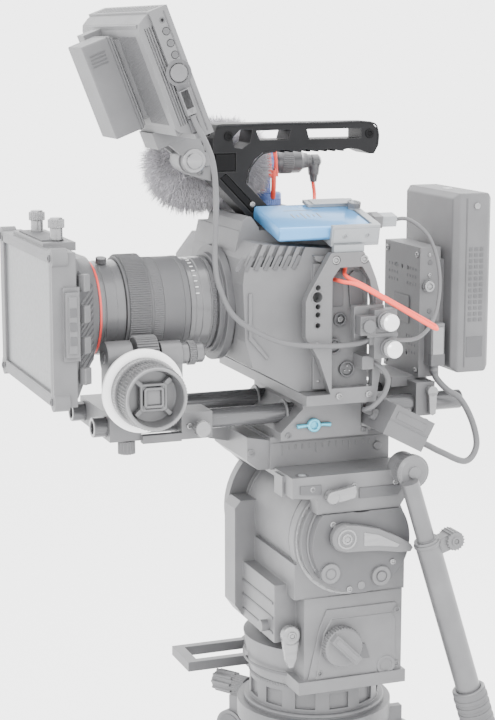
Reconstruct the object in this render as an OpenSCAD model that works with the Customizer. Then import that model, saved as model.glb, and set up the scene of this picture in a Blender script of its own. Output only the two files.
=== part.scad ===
// A digital cinema camera rig on a fluid head and a short tripod.
// The lens looks along -X, +Y is the camera's right-hand side and +Z is up.
// The origin is on the floor, under the middle of the whole rig's plan.

/* [Rods] */
// Diameter of the two support rods
rod_d = 15; // [15:1:19]
// Distance between the rods' axes
rod_gap = 60; // [60:1:60]
// Length of each rod
rod_len = 300; // [290:5:320]
// Height of the rods' axes above the floor
rod_z = 650; // [640:5:700]

/* [Lens and matte box] */
// Height of the lens axis above the rods' axes
lens_rise = 84; // [84:1:86]
// Radius of the toothed focus ring
focus_r = 39.5; // [39:0.5:39.5]
// Width of the matte box front frame
matte_w = 160; // [150:2:164]
// Height of the matte box front frame
matte_h = 109; // [105:1:112]

/* [Follow focus] */
// Radius of the drive gear
drive_r = 15; // [14.5:0.5:15]
// Radius of the white marking disc
disc_r = 30.5; // [29:0.5:31]
// Radius of the hand wheel's rim
wheel_r = 23.5; // [22:0.5:24]

/* [Handle and monitor] */
// Thickness of the top handle
handle_t = 25; // [22:1:26]
// Width of the monitor
monitor_w = 154; // [148:2:156]
// Height of the monitor
monitor_h = 94; // [92:1:96]
// Lean of the monitor's screen from upright
monitor_lean = 21.3; // [20:0.1:22]

/* [Battery] */
// Width of the main battery
battery_w = 90; // [86:2:92]
// Height of the main battery
battery_h = 140; // [136:2:142]
// Thickness of the main battery
battery_t = 34; // [32:1:40]

/* [Tripod] */
// Distance from the pan axis to the middle of each foot
foot_radius = 212; // [205:1:215]
// Radius of each foot
foot_r = 20; // [18:1:22]
// Radius of each lower leg tube
leg_tube_r = 9; // [8:0.5:9]

/* [Hidden] */
$fn = 64;

// The rig's own measures run from the rods' front tips (x), the camera's middle plane (y) and the
// rods' axes (z).
pan_x = 190;
matte_front = -41;
frame_x = -((matte_front - pan_x) + (foot_radius + foot_r)) / 2;
rod_r = rod_d / 2;
rod_y = rod_gap / 2;
fit = 0.05;
gap = 0.3;

// ---------- placing and basic shapes ----------

// Moves a shape from the rig's measures to the floor frame.
module rig() {
    translate([frame_x - pan_x, 0, rod_z]) children();
}

// Moves a shape from the pan axis at floor level to the floor frame.
module stand() {
    translate([frame_x, 0, 0]) children();
}

// A block between two x, two y and two z positions.
module block(x, y, z) {
    translate([x[0], y[0], z[0]]) cube([x[1] - x[0], y[1] - y[0], z[1] - z[0]]);
}

// A round bar along X.
module bar_x(x, y, z, r) {
    translate([x[0], y, z]) rotate([0, 90, 0]) cylinder(h = x[1] - x[0], r = r);
}

// A round bar along Y.
module bar_y(x, y, z, r) {
    translate([x, y[0], z]) rotate([-90, 0, 0]) cylinder(h = y[1] - y[0], r = r);
}

// A round bar along Z.
module bar_z(x, y, z, r) {
    translate([x, y, z[0]]) cylinder(h = z[1] - z[0], r = r);
}

// A side outline in X and Z with a thickness along Y.
module slab(outline, y) {
    translate([0, y[1], 0]) rotate([90, 0, 0]) linear_extrude(y[1] - y[0]) polygon(outline);
}

// A round profile of [x, r] points turned about an axis along X at height z.
module turned_x(profile, y, z) {
    points = [for (p = profile) [p[1], p[0]]];
    translate([0, y, z]) rotate([0, 90, 0]) rotate_extrude() polygon(points);
}

// ---------- tripod ----------

bowl_top = 407;
hinge_r = 64;
hinge_z = 372;
leg_lean = atan((foot_radius - hinge_r) / (hinge_z - 12));
leg_len = (hinge_z - 12) / cos(leg_lean);
leg_gap = 22;
knob_turn = 124;
upper_len = leg_len * 0.72;

// Moves a hanging leg, drawn downwards from its hinge, to its place under the bowl.
module leg_place(turn) {
    stand() rotate([0, 0, turn]) translate([hinge_r, 0, hinge_z]) rotate([0, -leg_lean, 0]) children();
}

module tripod_bowl() color("dimgray") stand() difference() {
    union() {
        translate([0, 0, bowl_top - 62]) cylinder(h = 62, r1 = 44, r2 = 58);
        bar_z(0, 0, [bowl_top - 14, bowl_top], 62);
        for (turn = [0, 120, 240]) rotate([0, 0, turn]) for (side = [-1, 1]) {
            block([30, hinge_r + 2], side > 0 ? [21.3, 28] : [-28, -21.3], [hinge_z - 12, bowl_top - 8]);
            bar_y(hinge_r, side > 0 ? [21.3, 30] : [-30, -21.3], hinge_z, 14);
        }
        block([-20, -8], [50, 110.7], [bowl_top - 8, bowl_top - 0.5]);
        block([-20, -8], [81.3, 110.7], [bowl_top - 8, bowl_top + 8]);
        bar_y(-14, [81.3, 110.7], bowl_top + 8, 6);
        bar_y(-14, [73, 119], bowl_top + 8, 3);
    }
    translate([0, 0, bowl_top - 8]) rotate([0, 0, knob_turn]) bar_x([50, 66], 0, 0, 5 + fit);
    bar_z(0, 0, [bowl_top - 50, bowl_top + 1], 38);
    for (turn = [0, 120, 240]) rotate([0, 0, turn]) bar_y(hinge_r, [-31, 31], hinge_z, 4);
}

// A U-shaped handle that swings on a lug beside the bowl's rim.
module carry_handle() color("gray") stand() difference() {
    union() {
        block([-82, -73], [74, 118], [bowl_top + 4, bowl_top + 12]);
        for (y = [[74, 81], [111, 118]]) {
            block([-82, -14], y, [bowl_top + 4, bowl_top + 12]);
            bar_y(-14, y, bowl_top + 8, 6);
        }
    }
    bar_y(-14, [70, 120], bowl_top + 8, 3 + fit);
}

module bowl_clamp_knob() color("gray") stand() translate([0, 0, bowl_top - 8]) rotate([0, 0, knob_turn]) {
    bar_x([56, 68], 0, 0, 5);
    bar_x([66, 98], 0, 0, 8);
    for (turn = [0:60:300]) rotate([turn, 0, 0]) bar_x([78, 98], 6.5, 0, 3);
}

// The upper leg: a hinge knuckle, two tubes and the yoke that holds the lower tube.
module leg_upper() difference() {
    union() {
        bar_y(0, [-21, 21], 0, 13);
        block([-10, 10], [-21, 21], [-26, -6]);
        for (side = [-1, 1]) bar_z(0, side * leg_gap / 2 + side * 6, [-upper_len, -20], leg_tube_r - 1.5);
        block([-14, 14], [-26, 26], [-upper_len - 20, -upper_len]);
        bar_y(16, [-9, 9], -upper_len - 10, 6);
    }
    bar_y(0, [-22, 22], 0, 4);
    bar_z(0, 0, [-upper_len - 21, -26.5], leg_tube_r + fit);
}

// The lower leg: one tube with a round rubber foot that stands flat on the floor.
module leg_lower() {
    translate([0, 0, -leg_len + 8]) cylinder(h = leg_len - 38, r = leg_tube_r);
    translate([0, 0, -leg_len + 8]) sphere(r = 12);
}

module foot_disc(turn) {
    stand() rotate([0, 0, turn]) translate([foot_radius, 0, 0]) cylinder(h = 12, r = foot_r);
}

module leg_upper_1() color("dimgray") leg_place(0) leg_upper();
module leg_upper_2() color("dimgray") leg_place(120) leg_upper();
module leg_upper_3() color("dimgray") leg_place(240) leg_upper();

module leg_lower_at(turn) union() {
    leg_place(turn) leg_lower();
    foot_disc(turn);
}

module leg_lower_1() color("gray") leg_lower_at(0);
module leg_lower_2() color("gray") leg_lower_at(120);
module leg_lower_3() color("gray") leg_lower_at(240);

// ---------- fluid head ----------

tilt_x = 194;
tilt_z = -94;
drum_r = 46;
head_base = bowl_top - rod_z;

module pan_base() color("dimgray") rig() difference() {
    union() {
        bar_z(pan_x, 0, [head_base, head_base + 26], 52);
        bar_z(pan_x, 0, [head_base, head_base + 4], 56);
    }
    for (turn = [0:30:330]) translate([pan_x, 0, head_base + 7]) rotate([0, 0, turn]) block([49, 60], [-8, 8], [0, 13]);
    bar_z(pan_x, 0, [head_base + 10, head_base + 27], 20 + fit);
}

module pan_housing() color("gray") rig() difference() {
    union() {
        bar_z(pan_x, 0, [head_base + 12, head_base + 27], 20);
        translate([pan_x, 0, head_base + 26.3]) cylinder(h = 30, r1 = 52, r2 = 57);
        block([156, 238], [-62, 24], [head_base + 30, -140]);
        block([150, 240], [-66, -20], [head_base + 28, head_base + 38]);
        block([138, 236], [-45, 48], [-178, -132]);
        bar_y(tilt_x, [-61, 48], tilt_z, drum_r);
        bar_y(tilt_x, [-61, -52], tilt_z, drum_r + 1);
        block([148, 240], [-61, 48], [-140, -112]);
        slab([[131, -88], [131, -168], [138, -178], [236, -178], [236, -100], [150, -82], [136, -82]], [24, 48]);
        bar_x([132, 138], -30, -168, 4.5);
    }
    bar_y(184, [-70, -58], -178, 6 + fit);
    bar_y(tilt_x, [-62, 49], tilt_z, 8 + fit);
    bar_y(148, [-50, -36], -170, 4 + fit);
}

module pan_drag_knob() color("dimgray") rig() {
    bar_y(184, [-67, -58.5], -178, 6);
    bar_y(184, [-74, -66.3], -178, 16);
    translate([184, 0, -178]) rotate([0, 45, 0]) block([-15, 15], [-80, -73], [-4.5, 4.5]);
}

module pan_lock_lever() color("whitesmoke") rig() {
    bar_y(148, [-50, -36], -170, 4);
    bar_y(148, [-56, -50], -170, 7.5);
    slab([[141, -172], [155, -172], [150, -196], [146, -196]], [-55, -50]);
}

module tilt_cradle() color("gray") rig() difference() {
    union() {
        slab([[140, -46.5], [140, -56], [160, -58], [160, -70], [tilt_x, -70], [228, -70], [238, -54], [238, -40.3],
            [140, -40.3]], [-76, -61.6]);
        bar_y(tilt_x, [-66, -61.6], tilt_z, 43);
        slab([[150, -60], [238, -60], [238, -40.3], [140, -40.3], [140, -50]], [48.4, 60]);
        bar_y(tilt_x, [48.4, 58], tilt_z, 60);
        block([140, 238], [-76, 60], [-46.6, -40.3]);
        block([138, 146], [-60, -44], [-58, -42]);
        bar_y(tilt_x, [-66, 58], tilt_z, 8);
        bar_y(232, [-84, -70], -40, 12);
    }
    block([139, 239], [-39, 39], [-42, -39]);
    bar_y(232, [-85, -69], -40, 3 + fit);
    bar_y(170, [-80, -70], -56, 3 + fit);
}

module drum_end_cap() color("gray") rig() difference() {
    union() {
        bar_y(tilt_x + 2, [-78, -66], tilt_z, 40);
        bar_y(tilt_x - 24, [-80, -66], tilt_z - 22, 8);
        bar_y(tilt_x + 18, [-79.5, -66], tilt_z - 28, 8);
    }
    bar_y(tilt_x + 2, [-90, -64], tilt_z + 51, 28);
    block([150, 240], [-90, -60], [-70.2, -50]);
    bar_y(180, [-90, -70], -88, 5 + fit);
}

module tilt_lock_lever() color("gray") rig() {
    bar_y(180, [-79, -70.5], -88, 5);
    bar_y(180, [-87, -79], -88, 11);
    slab([[180, -78], [206, -84], [234, -98], [232, -103], [206, -99], [180, -98]], [-86, -80]);
}

bar_lean = 17.5;
module along_pan_bar() {
    rig() translate([232, -92, -40]) rotate([0, -bar_lean, 0]) children();
}

module pan_bar() color("gray") {
    along_pan_bar() {
        translate([0, 1.5, 0]) rotate([-90, 0, 0]) cylinder(h = 6.2, r = 13);
        for (turn = [0:30:330]) rotate([0, turn, 0]) block([5, 13], [7, 7.7], [-1, 1]);
        rotate([-90, 0, 0]) cylinder(h = 22, r = 3);
        translate([-7, -4, -78]) cylinder(h = 74, r = 7);
        translate([-7, -4, -182]) cylinder(h = 130, r = 9.5);
        translate([-1, -9, -66]) cube([16, 10, 12]);
        translate([13, -11, -60]) rotate([-90, 0, 0]) cylinder(h = 14, r = 7);
    }
}

module pan_bar_grip() color("dimgray") along_pan_bar() {
    translate([-7, -4, -292]) cylinder(h = 110, r = 13);
}

module sliding_plate() color("gray") rig() {
    block([137, 236], [-38, 38], [-41.9, -17]);
    slab([[119, -16], [140, -20], [140, -41.9], [128, -41.9], [119, -34]], [-36, 38]);
    slab([[103, -12], [122, -16], [122, -28], [103, -24]], [6, 38]);
}

module plate_lock_lever() color("gray") rig() {
    bar_y(170, [-84, -71], -56, 3);
    bar_y(170, [-84, -76.3], -56, 5);
    slab([[170, -51], [188, -47], [188, -58], [170, -60]], [-84, -79]);
}

// ---------- rods and baseplate ----------

module rods() color("silver") rig() for (y = [-rod_y, rod_y]) difference() {
    bar_x([0, rod_len], y, 0, rod_r);
    bar_x([-1, 12], y, 0, 5);
    bar_x([rod_len - 12, rod_len + 1], y, 0, 5);
}

module rod_baseplate() color("gray") rig() difference() {
    union() {
        slab([[140, -17], [140, -11], [158, 6.5], [158, 10], [206, 10], [206, -10], [212, -12], [212, -17]], [-52, 52]);
        block([163, 203], [-30, 30], [10, 14]);
    }
    for (y = [-rod_y, rod_y]) bar_x([130, 220], y, 0, rod_r);
    bar_y(166, [-53, -40], -6, 3 + fit);
}

module baseplate_lever() color("powderblue") rig() difference() {
    union() {
        bar_y(166, [-56, -41], -6, 3);
        bar_y(166, [-56, -52.3], -6, 5);
        block([150, 176], [-55.5, -52.8], [-7.2, -4.8]);
    }
    bar_y(166, [-57, -54], -6, 2.8);
}

// ---------- camera ----------

lens_z = lens_rise;

module camera_body() color("gray") rig() difference() {
    union() {
        slab([[108, 62], [106, 104], [108, 122], [116, 134], [200, 126], [203, 118], [203, 22], [150, 22], [136, 30],
            [114, 42]], [-62, 58]);
        slab([[107, 112], [116, 148], [119, 151], [123, 151], [129, 143], [129, 112]], [-34, 40]);
        slab([[107, 112], [113.6, 140.7], [203, 140.7], [203, 112]], [-34, 60]);
        block([192, 201], [-84, -60], [40, 50]);
        slab([[122, 40], [112, 60], [112, 108], [126, 126], [200, 126], [200, 24], [150, 24]], [58, 112]);
        block([160, 204], [-66, -60], [24, 118]);
        bar_x([100, 110], 0, lens_z, 34);
    }
    for (i = [0:6]) translate([104 + i * 7, -70, 118]) rotate([0, 25, 0]) cube([3, 11, 18]);
    block([198, 205], [-40, 50], [48, 116]);
    bar_y(175, [-70, -63], 55, 4.6);
    bar_y(185, [-70, -63], 38, 4.6);
}

module cage() color("gray") rig() difference() {
    union() {
        slab([[169, 127], [151, 97], [149, 91.5], [149, 65.5], [155, 56.5], [160, 48], [172, 14], [206, 14],
            [210.5, 45], [210, 90], [205, 107], [200, 119], [195, 127]], [-78, -70.5]);
        block([130, 202], [-8, 62], [141, 147]);
        slab([[152, 128], [198, 128], [198, 141], [152, 141]], [60.3, 64]);
        block([152, 198], [60.3, 64], [126.3, 147]);
        block([150, 206], [-78, 113], [14, 21.7]);
        block([152, 198], [112.3, 118], [14, 147]);
        block([152, 198], [60.3, 118], [141, 147]);
        block([184, 208], [-86, -77], [60, 88]);
    }
    slab([[170, 26], [170, 108], [176, 116], [194, 116], [200, 106], [203, 90], [203, 26]], [-80, -70]);
    for (z = [74, 82, 88, 102]) bar_y(158.5, [-79, -70], z, 2.1);
    bar_y(158, [-79, -70], 95, 4);
    for (x = [173, 195.6]) bar_y(x, [-79, -76], 121.5, 3.4);
    for (x = [160, 175, 190]) for (y = [0, 55]) bar_z(x, y, [140, 148], 3.2);
}

// ---------- lens ----------

module lens_barrel() color("gray") rig() difference() {
    union() {
        turned_x([[0, 0], [0, 34.5], [12, 35.2], [14, 34], [25.7, 36.5], [25.7, 30], [75.3, 30], [75.3, 34.5], [86, 34.8],
            [96, 34.5], [96.5, 33.8], [99.7, 33.8], [99.7, 0]], 0, lens_z);
        bar_x([86, 92], 0, lens_z, 35.2);
    }
    turned_x([[-1, 0], [-1, 31], [6, 26], [6, 0]], 0, lens_z);
}

module focus_ring() color("dimgray") rig() difference() {
    turned_x([[26, 0], [26, 37.5], [28, focus_r], [44, focus_r], [46, 36.5], [75, 36], [75, 0]], 0, lens_z);
    bar_x([25, 76], 0, lens_z, 30 + fit);
}

// ---------- matte box ----------

matte_z = 81.5;
matte_y = matte_w / 2;

module matte_box() color("gray") rig() difference() {
    union() {
        difference() {
            block([matte_front, -24], [-matte_y, matte_y], [matte_z - matte_h / 2, matte_z + matte_h / 2]);
            block([-42, -20], [-matte_y + 8, matte_y - 12], [matte_z - matte_h / 2 + 9, matte_z + matte_h / 2 - 6]);
        }
        difference() {
            hull() {
                block([-24, -22], [-74, 74], [32, 131]);
                bar_x([0, 4], 0, lens_z, 39);
            }
            hull() {
                block([-25, -24], [-70, 66], [38, 127]);
                bar_x([-4, -3], 0, lens_z, 34);
            }
        }
        block([-38, -14], [-44, 46], [133, 139]);
        block([-36, -28], [74, 84], [62, 94]);
        block([-34, -22], [-82, -78], [60, 112]);
        for (y = [-76, 76]) for (z = [31, 132]) bar_x([matte_front, -30], y, z, 7);
    }
    bar_x([-10, 5], 0, lens_z, 35);
    bar_x([-22, 0], 0, lens_z, 34);
    for (y = [-32, 25]) bar_z(-25, y, [128, 140], 3 + fit);
}

module filter_glass() color("lightgray") rig() difference() {
    block([-39, -35], [-matte_y + 8, matte_y - 12], [matte_z - matte_h / 2 + 9, matte_z + matte_h / 2 - 6]);
    for (y = [-76, 76]) for (z = [31, 132]) bar_x([-40, -34], y, z, 7.1);
}

module matte_knob(y, top) {
    bar_z(-25, y, [134, 141], 3);
    bar_z(-25, y, [139.3, top - 5], 4.6);
    bar_z(-25, y, [top - 5, top], 6);
}

module matte_knob_far() color("gray") rig() matte_knob(25, 156);
module matte_knob_near() color("gray") rig() matte_knob(-32, 155);

// ---------- follow focus ----------

focus_x = 27;
focus_z = 33;
drive_y = -46;
drive_z = lens_z - sqrt(pow(focus_r + drive_r + gap, 2) - pow(drive_y, 2));

module follow_focus_body() color("gray") rig() difference() {
    union() {
        block([10, 46], [-64, -26], [8, 37]);
        bar_y(focus_x, [-66, -60], focus_z, 20);
        block([5, 24], [-56, -38], [30, drive_z]);
        bar_x([5, 24], drive_y, drive_z, 12);
        block([46, 62], [-54, -38], [12, drive_z]);
        bar_x([46, 62], drive_y, drive_z, 10);
        block([10, 34], [-41, 41], [-10, 10]);
        block([34, 64], [-45, -38.5], [-12, -6]);
        block([64, 88], [-45, -19], [-11, 9]);
    }
    for (y = [-rod_y, rod_y]) bar_x([0, 100], y, 0, rod_r);
    bar_x([24, 46.1], drive_y, drive_z, drive_r + 1);
    bar_x([0, 70], drive_y, drive_z, 4 + fit);
    bar_y(focus_x, [-67, -50], focus_z, 5 + fit);
    bar_x([-10, 70], 0, lens_z, focus_r + 1.5);
    bar_z(24, -36, [-11, -7.9], 3 + fit);
}

module focus_wheel() color("gray") rig() difference() {
    union() {
        bar_y(focus_x, [-72, -51], focus_z, 5);
        bar_y(focus_x, [-80, -66.4], focus_z, 21);
        bar_y(focus_x, [-80, -72.5], focus_z, 24.8);
        bar_y(focus_x, [-102, -80], focus_z, wheel_r);
    }
    bar_y(focus_x, [-103, -90], focus_z, wheel_r - 3.5);
    for (turn = [45:90:315]) translate([focus_x, 0, focus_z]) rotate([0, turn, 0]) block([11, 17], [-91, -84], [-7, 7]);
}

module marking_disc() color("white") rig() difference() {
    bar_y(focus_x, [-72.5, -67.5], focus_z, disc_r);
    bar_y(focus_x, [-73, -66], focus_z, 21);
}

module focus_drive_gear() color("dimgray") rig() {
    bar_x([4, 78], drive_y, drive_z, 4);
    bar_x([27, 43], drive_y, drive_z, drive_r);
    bar_x([62.3, 68], drive_y, drive_z, 8);
    bar_x([68, 73], drive_y, drive_z, 9);
    bar_x([73, 80], drive_y, drive_z, 7.5);
}

module follow_clamp_knob() color("gray") rig() {
    bar_z(24, -36, [-12, -8], 3);
    bar_z(24, -36, [-20, -10.3], 6.5);
}

// ---------- top handle ----------

grip_side = [[101, 208], [104, 218], [108, 218.5], [229, 218.5], [235.5, 212], [235.5, 200], [232, 194], [228, 194],
    [219, 197.5], [212, 198.5], [203, 197], [194, 198.5], [185, 197], [176, 198.5], [167, 197], [158, 198.5],
    [149, 197.5], [140, 196.5], [134, 192], [129, 184], [127, 174], [148, 153], [148, 147.2], [130, 147.2],
    [101, 177]];

module top_handle() color([0.2, 0.2, 0.21]) rig() difference() {
    slab(grip_side, [-handle_t / 2, handle_t / 2]);
    slab([[138, 206], [135, 213], [163, 213.5], [161, 206]], [-20, 20]);
    slab([[178, 206], [176, 213.5], [221, 213.5], [221, 206]], [-20, 20]);
    slab([[118, 201], [116, 208], [122, 214], [132, 214], [130, 204], [124, 200]], [-20, 20]);
    for (side = [-1, 1]) {
        block([100, 119], side > 0 ? [handle_t / 2 - 2, 20] : [-20, 2 - handle_t / 2], [183, 197]);
        bar_y(113, side > 0 ? [handle_t / 2 - 4, 20] : [-20, 4 - handle_t / 2], 209.5, 3.2);
        bar_y(228, side > 0 ? [handle_t / 2 - 4, 20] : [-20, 4 - handle_t / 2], 209.5, 3.2);
        slab([[106, 178], [111, 182], [137, 155], [132, 151]], side > 0 ? [handle_t / 2 - 2, 20] : [-20, 2 - handle_t / 2]);
    }
    bar_x([100, 112], 0, 212, 3.2);
    for (x = [150, 190]) bar_z(x, 0, [213, 220], 3.2);
}

// ---------- monitor ----------

pivot_x = 85;
pivot_z = 192;

// Places a shape drawn against the upright screen: x is the depth behind the glass, z runs up
// from the screen's lower edge.
module on_monitor() {
    rig() translate([78.7, 0, 216.6]) rotate([0, -monitor_lean, 0]) children();
}

module monitor_mount() color("lightgray") rig() difference() {
    union() {
        slab([[100.8, 176], [100.8, 200], [92, 204], [80, 202], [76, 190], [84, 181]], [-8.7, 8.7]);
        bar_y(pivot_x, [-8.7, 8.7], pivot_z, 10);
    }
    bar_y(pivot_x, [-10, 10], pivot_z, 4 + fit);
}

module monitor() color("lightgray") difference() {
    union() {
        on_monitor() {
            block([-14, 0], [-monitor_w / 2, monitor_w / 2], [0, monitor_h]);
            block([-24, -14], [8 - monitor_w / 2, monitor_w / 2 - 8], [6, monitor_h - 6]);
            block([-28, -24], [-16, 16], [18, 78]);
            block([-38, -24], [22, 40], [68, 86]);
            block([-26, -2], [-16, 16], [-7, 6]);
            block([-15, -8], [-82, -76], [18, 36]);
        }
        rig() {
            for (side = [-1, 1]) {
                slab([[76, 196], [94, 196], [88, 214], [70, 213], [66, 204]], side > 0 ? [9, 15] : [-15, -9]);
                bar_y(pivot_x, side > 0 ? [9, 15] : [-15, -9], pivot_z, 9);
            }
            bar_y(pivot_x, [-15, 15], pivot_z, 4);
        }
    }
    on_monitor() {
        for (up = [60, 68.6, 77.3]) translate([-7, -monitor_w / 2 - 1, up]) rotate([-90, 0, 0]) cylinder(h = 5, r = 2.8);
        translate([-9, -monitor_w / 2 - 1, 47.5]) rotate([-90, 0, 0]) cylinder(h = 6, r = 6.8);
        translate([-7, -monitor_w / 2 - 1, 85.3]) rotate([-90, 0, 0]) cylinder(h = 4, r = 1.2);
        block([-15, -8], [-monitor_w / 2 - 1, 3 - monitor_w / 2], [4, 15]);
        block([-1, 1], [8 - monitor_w / 2, monitor_w / 2 - 8], [7, monitor_h - 7]);
    }
}

module monitor_button(up) color("gray") on_monitor() {
    translate([-7, -monitor_w / 2 - 0.8, up]) rotate([-90, 0, 0]) cylinder(h = 3.5, r = 2.5);
}

module monitor_button_1() monitor_button(60);
module monitor_button_2() monitor_button(68.6);
module monitor_button_3() monitor_button(77.3);

module monitor_dial() color("silver") on_monitor() {
    translate([-9, -monitor_w / 2 - 1.5, 47.5]) rotate([-90, 0, 0]) cylinder(h = 6.2, r = 6.5);
}

module monitor_battery() color("gray") on_monitor() {
    block([-53, -28.3], [-19, 19], [12.5, 83]);
}

// ---------- microphone ----------

mic_y = 54;
mic_z = 185;

module mic_body() color("darkgray") rig() {
    bar_x([98, 166], mic_y, mic_z, 9.5);
    turned_x([[166, 0], [166, 9.6], [197, 9.6], [199, 7], [201, 6], [203, 6], [203, 0]], mic_y, mic_z);
    bar_x([203, 206], mic_y, mic_z, 5);
    block([206, 215], [mic_y - 5, mic_y + 5], [178, 190]);
    bar_z(209, mic_y, [168, 178], 4);
}

module mic_windscreen() color("gray") rig() difference() {
    union() {
        bar_x([104, 134], mic_y, mic_z, 36);
        translate([104, mic_y, mic_z]) sphere(r = 36);
        translate([134, mic_y, mic_z]) sphere(r = 36);
    }
    bar_x([97, 172], mic_y, mic_z, 9.8);
    block([160, 180], [0, 100], [140, 230]);
}

module mic_mount() color("lightsteelblue") rig() {
    bar_z(171, mic_y, [147, 151], 12);
    bar_z(171, mic_y, [151, 161], 10);
    difference() {
        bar_x([167, 173], mic_y, mic_z, 13);
        bar_x([160, 180], mic_y, mic_z, 9.6);
    }
    block([168, 172], [mic_y - 3, mic_y + 3], [161, 173]);
}

// ---------- solid-state drive and its clamp ----------

drive_lean = 13;
module on_drive() {
    rig() translate([131, -70, 135]) rotate([drive_lean, 0, 0]) children();
}

module ssd() color("lightskyblue") on_drive() {
    rotate([90, 0, 90]) linear_extrude(74) hull() {
        translate([4, 3]) circle(r = 3, $fn = 32);
        translate([4, 7.5]) circle(r = 3, $fn = 32);
        translate([53, 3]) circle(r = 3, $fn = 32);
        translate([53, 7.5]) circle(r = 3, $fn = 32);
    }
}

module ssd_clamp() color("lightgray") {
    on_drive() {
        block([40, 76], [1, 14], [-3.5, 0]);
        block([40, 78], [-3, 0.9], [-3.5, 12]);
        block([74.2, 80], [0.9, 50], [-3.5, 11.2]);
        block([40, 80], [46, 58], [10.6, 13]);
        translate([75, 40, 10.6]) cylinder(h = 5.4, r = 4.5);
        translate([80, 28, 5]) rotate([0, 90, 0]) cylinder(h = 6, r = 3.6);
        translate([86, 23, 1]) cube([18, 10, 8]);
    }
    rig() block([172, 196], [-76, -71], [127, 132.3]);
}

// ---------- main battery and its plate ----------

plate_x = 263.5;

module battery_plate() color("gray") rig() difference() {
    union() {
        block([plate_x, 281], [-32, 32], [20, 122]);
        block([258, 274], [-40, 40], [-9, 17.5]);
        block([244, 274], [-24, 24], [12, 20]);
        block([268, 279], [-45, -32], [31, 64]);
        bar_z(273.5, -38.5, [26, 31], 3.6);
        bar_y(270, [-35, -32], 92, 5);
    }
    for (y = [-rod_y, rod_y]) bar_x([240, 280], y, 0, rod_r);
    for (y = [-10, 0, 10]) for (z = [36, 104]) bar_x([260, 267], y, z, 1.8);
    bar_y(270, [-41, -30], 10.5, 2.5 + fit);
}

module v_battery() color("gray") rig() {
    block([281.3, 286], [-28, 28], [30, 112]);
    slab([[285, 28], [290, 24], [285 + battery_t, 24], [285 + battery_t, 24 + battery_h], [290, 24 + battery_h],
        [285, 20 + battery_h]], [-battery_w / 2, battery_w / 2]);
}

module rear_clamp_lever() color("gray") rig() {
    bar_y(270, [-46, -34], 10.5, 2.5);
    bar_y(270, [-46, -40.3], 10.5, 4.5);
    block([267, 273], [-46, -41], [-8, 10]);
}

// ---------- power box and cable clamp ----------

box_turn = 28;
module on_power_box() {
    rig() translate([218, -90, 13]) rotate([0, box_turn, 0]) children();
}

module power_box() color("gray") difference() {
    union() {
        on_power_box() {
            block([0, 36], [0, 46], [-24, 0]);
            translate([-4, 24, -14]) rotate([0, 90, 0]) cylinder(h = 5, r = 4);
            translate([35, 24, -17]) rotate([0, 90, 0]) cylinder(h = 6, r = 3.6);
        }
        rig() bar_x([222, 234], -rod_y, 0, rod_r + 3);
        rig() block([222, 234], [-44.5, -38], [-4, 4]);
    }
    rig() bar_x([200, 260], -rod_y, 0, rod_r);
}

module cable_clamp() color("dimgray") rig() difference() {
    union() {
        block([196, 214], [-96, -86.2], [50, 86]);
        block([184, 196], [-98, -88], [68, 82]);
        bar_y(204, [-100, -96], 78, 7);
        bar_y(207, [-100, -96], 58, 7);
    }
    bar_y(204, [-101, -90], 78, 3);
    bar_y(207, [-101, -90], 58, 3);
}

module cable_clamp_screws() color("white") rig() {
    for (spot = [[204, 78], [207, 58]]) {
        bar_y(spot[0], [-110, -100], spot[1], 6.5);
        bar_y(spot[0], [-100, -90], spot[1], 3);
    }
}

// ---------- cords ----------

// Routes in the rig's measures, from the plug or port at one end to the one at the other.
monitor_route = [[62, -79.5, 228.5], [65, -80, 221], [71, -82, 209], [76, -83, 194], [78, -83, 168], [77, -83, 127],
    [81, -83, 105], [94, -83, 83], [126, -84, 65], [160, -86, 60], [184, -90, 61], [196, -91, 65]];
mic_route = [[209, 54, 168], [210, 53, 158], [206, 44, 151], [198, 28, 149], [192, 8, 149], [191, -8, 149],
    [191, -11.5, 145], [191, -18, 143], [191, -30, 142.3], [191, -40, 137], [190, -54, 131], [189, -64, 129],
    [187, -68.2, 122], [184, -68.2, 113], [182, -76, 109], [190, -86, 104], [214, -90, 90], [244, -91, 73],
    [247, -94, 70], [243, -96, 71], [212, -95, 89], [186, -91, 104], [177, -82, 106], [176, -66, 106]];
ssd_route = [[235, -44, 146], [245, -49, 146], [258, -56, 134], [265, -60, 112], [264, -64, 88], [254, -72, 69],
    [236, -84, 61], [214, -91, 62]];
battery_route = [[273.5, -38.5, 26], [275, -41, 20], [281, -47, 12], [291, -52, 4], [299, -57, -14],
    [300, -62, -32], [289, -65, -42], [268, -66, -33], [256, -66, -26.5], [246, -66, -21]];
camera_route = [[201, -80, 45], [207, -84, 41], [212, -86, 32], [209, -86, 21], [202, -83, 12], [199, -76, 8],
    [201, -69, 6], [208, -66, 2.5]];

function unit(v) = v / norm(v);
function at_end(p, i) = p[max(0, min(len(p) - 1, i))];
function between(p, i, t) = let (a = at_end(p, i - 1), b = p[i], c = p[i + 1], d = at_end(p, i + 2))
    0.5 * (2 * b + (c - a) * t + (2 * a - 5 * b + 4 * c - d) * t * t + (3 * b - a - 3 * c + d) * t * t * t);
function smooth(p, steps) = concat([for (i = [0:len(p) - 2]) for (k = [0:steps - 1]) between(p, i, k / steps)],
    [p[len(p) - 1]]);
function tangents(p) = [for (i = [0:len(p) - 1]) unit(at_end(p, i + 1) - at_end(p, i - 1))];
function carried(t, side, i = 0) = i == len(t) ? []
    : let (n = unit(side - (side * t[i]) * t[i])) concat([n], carried(t, n, i + 1));

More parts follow.
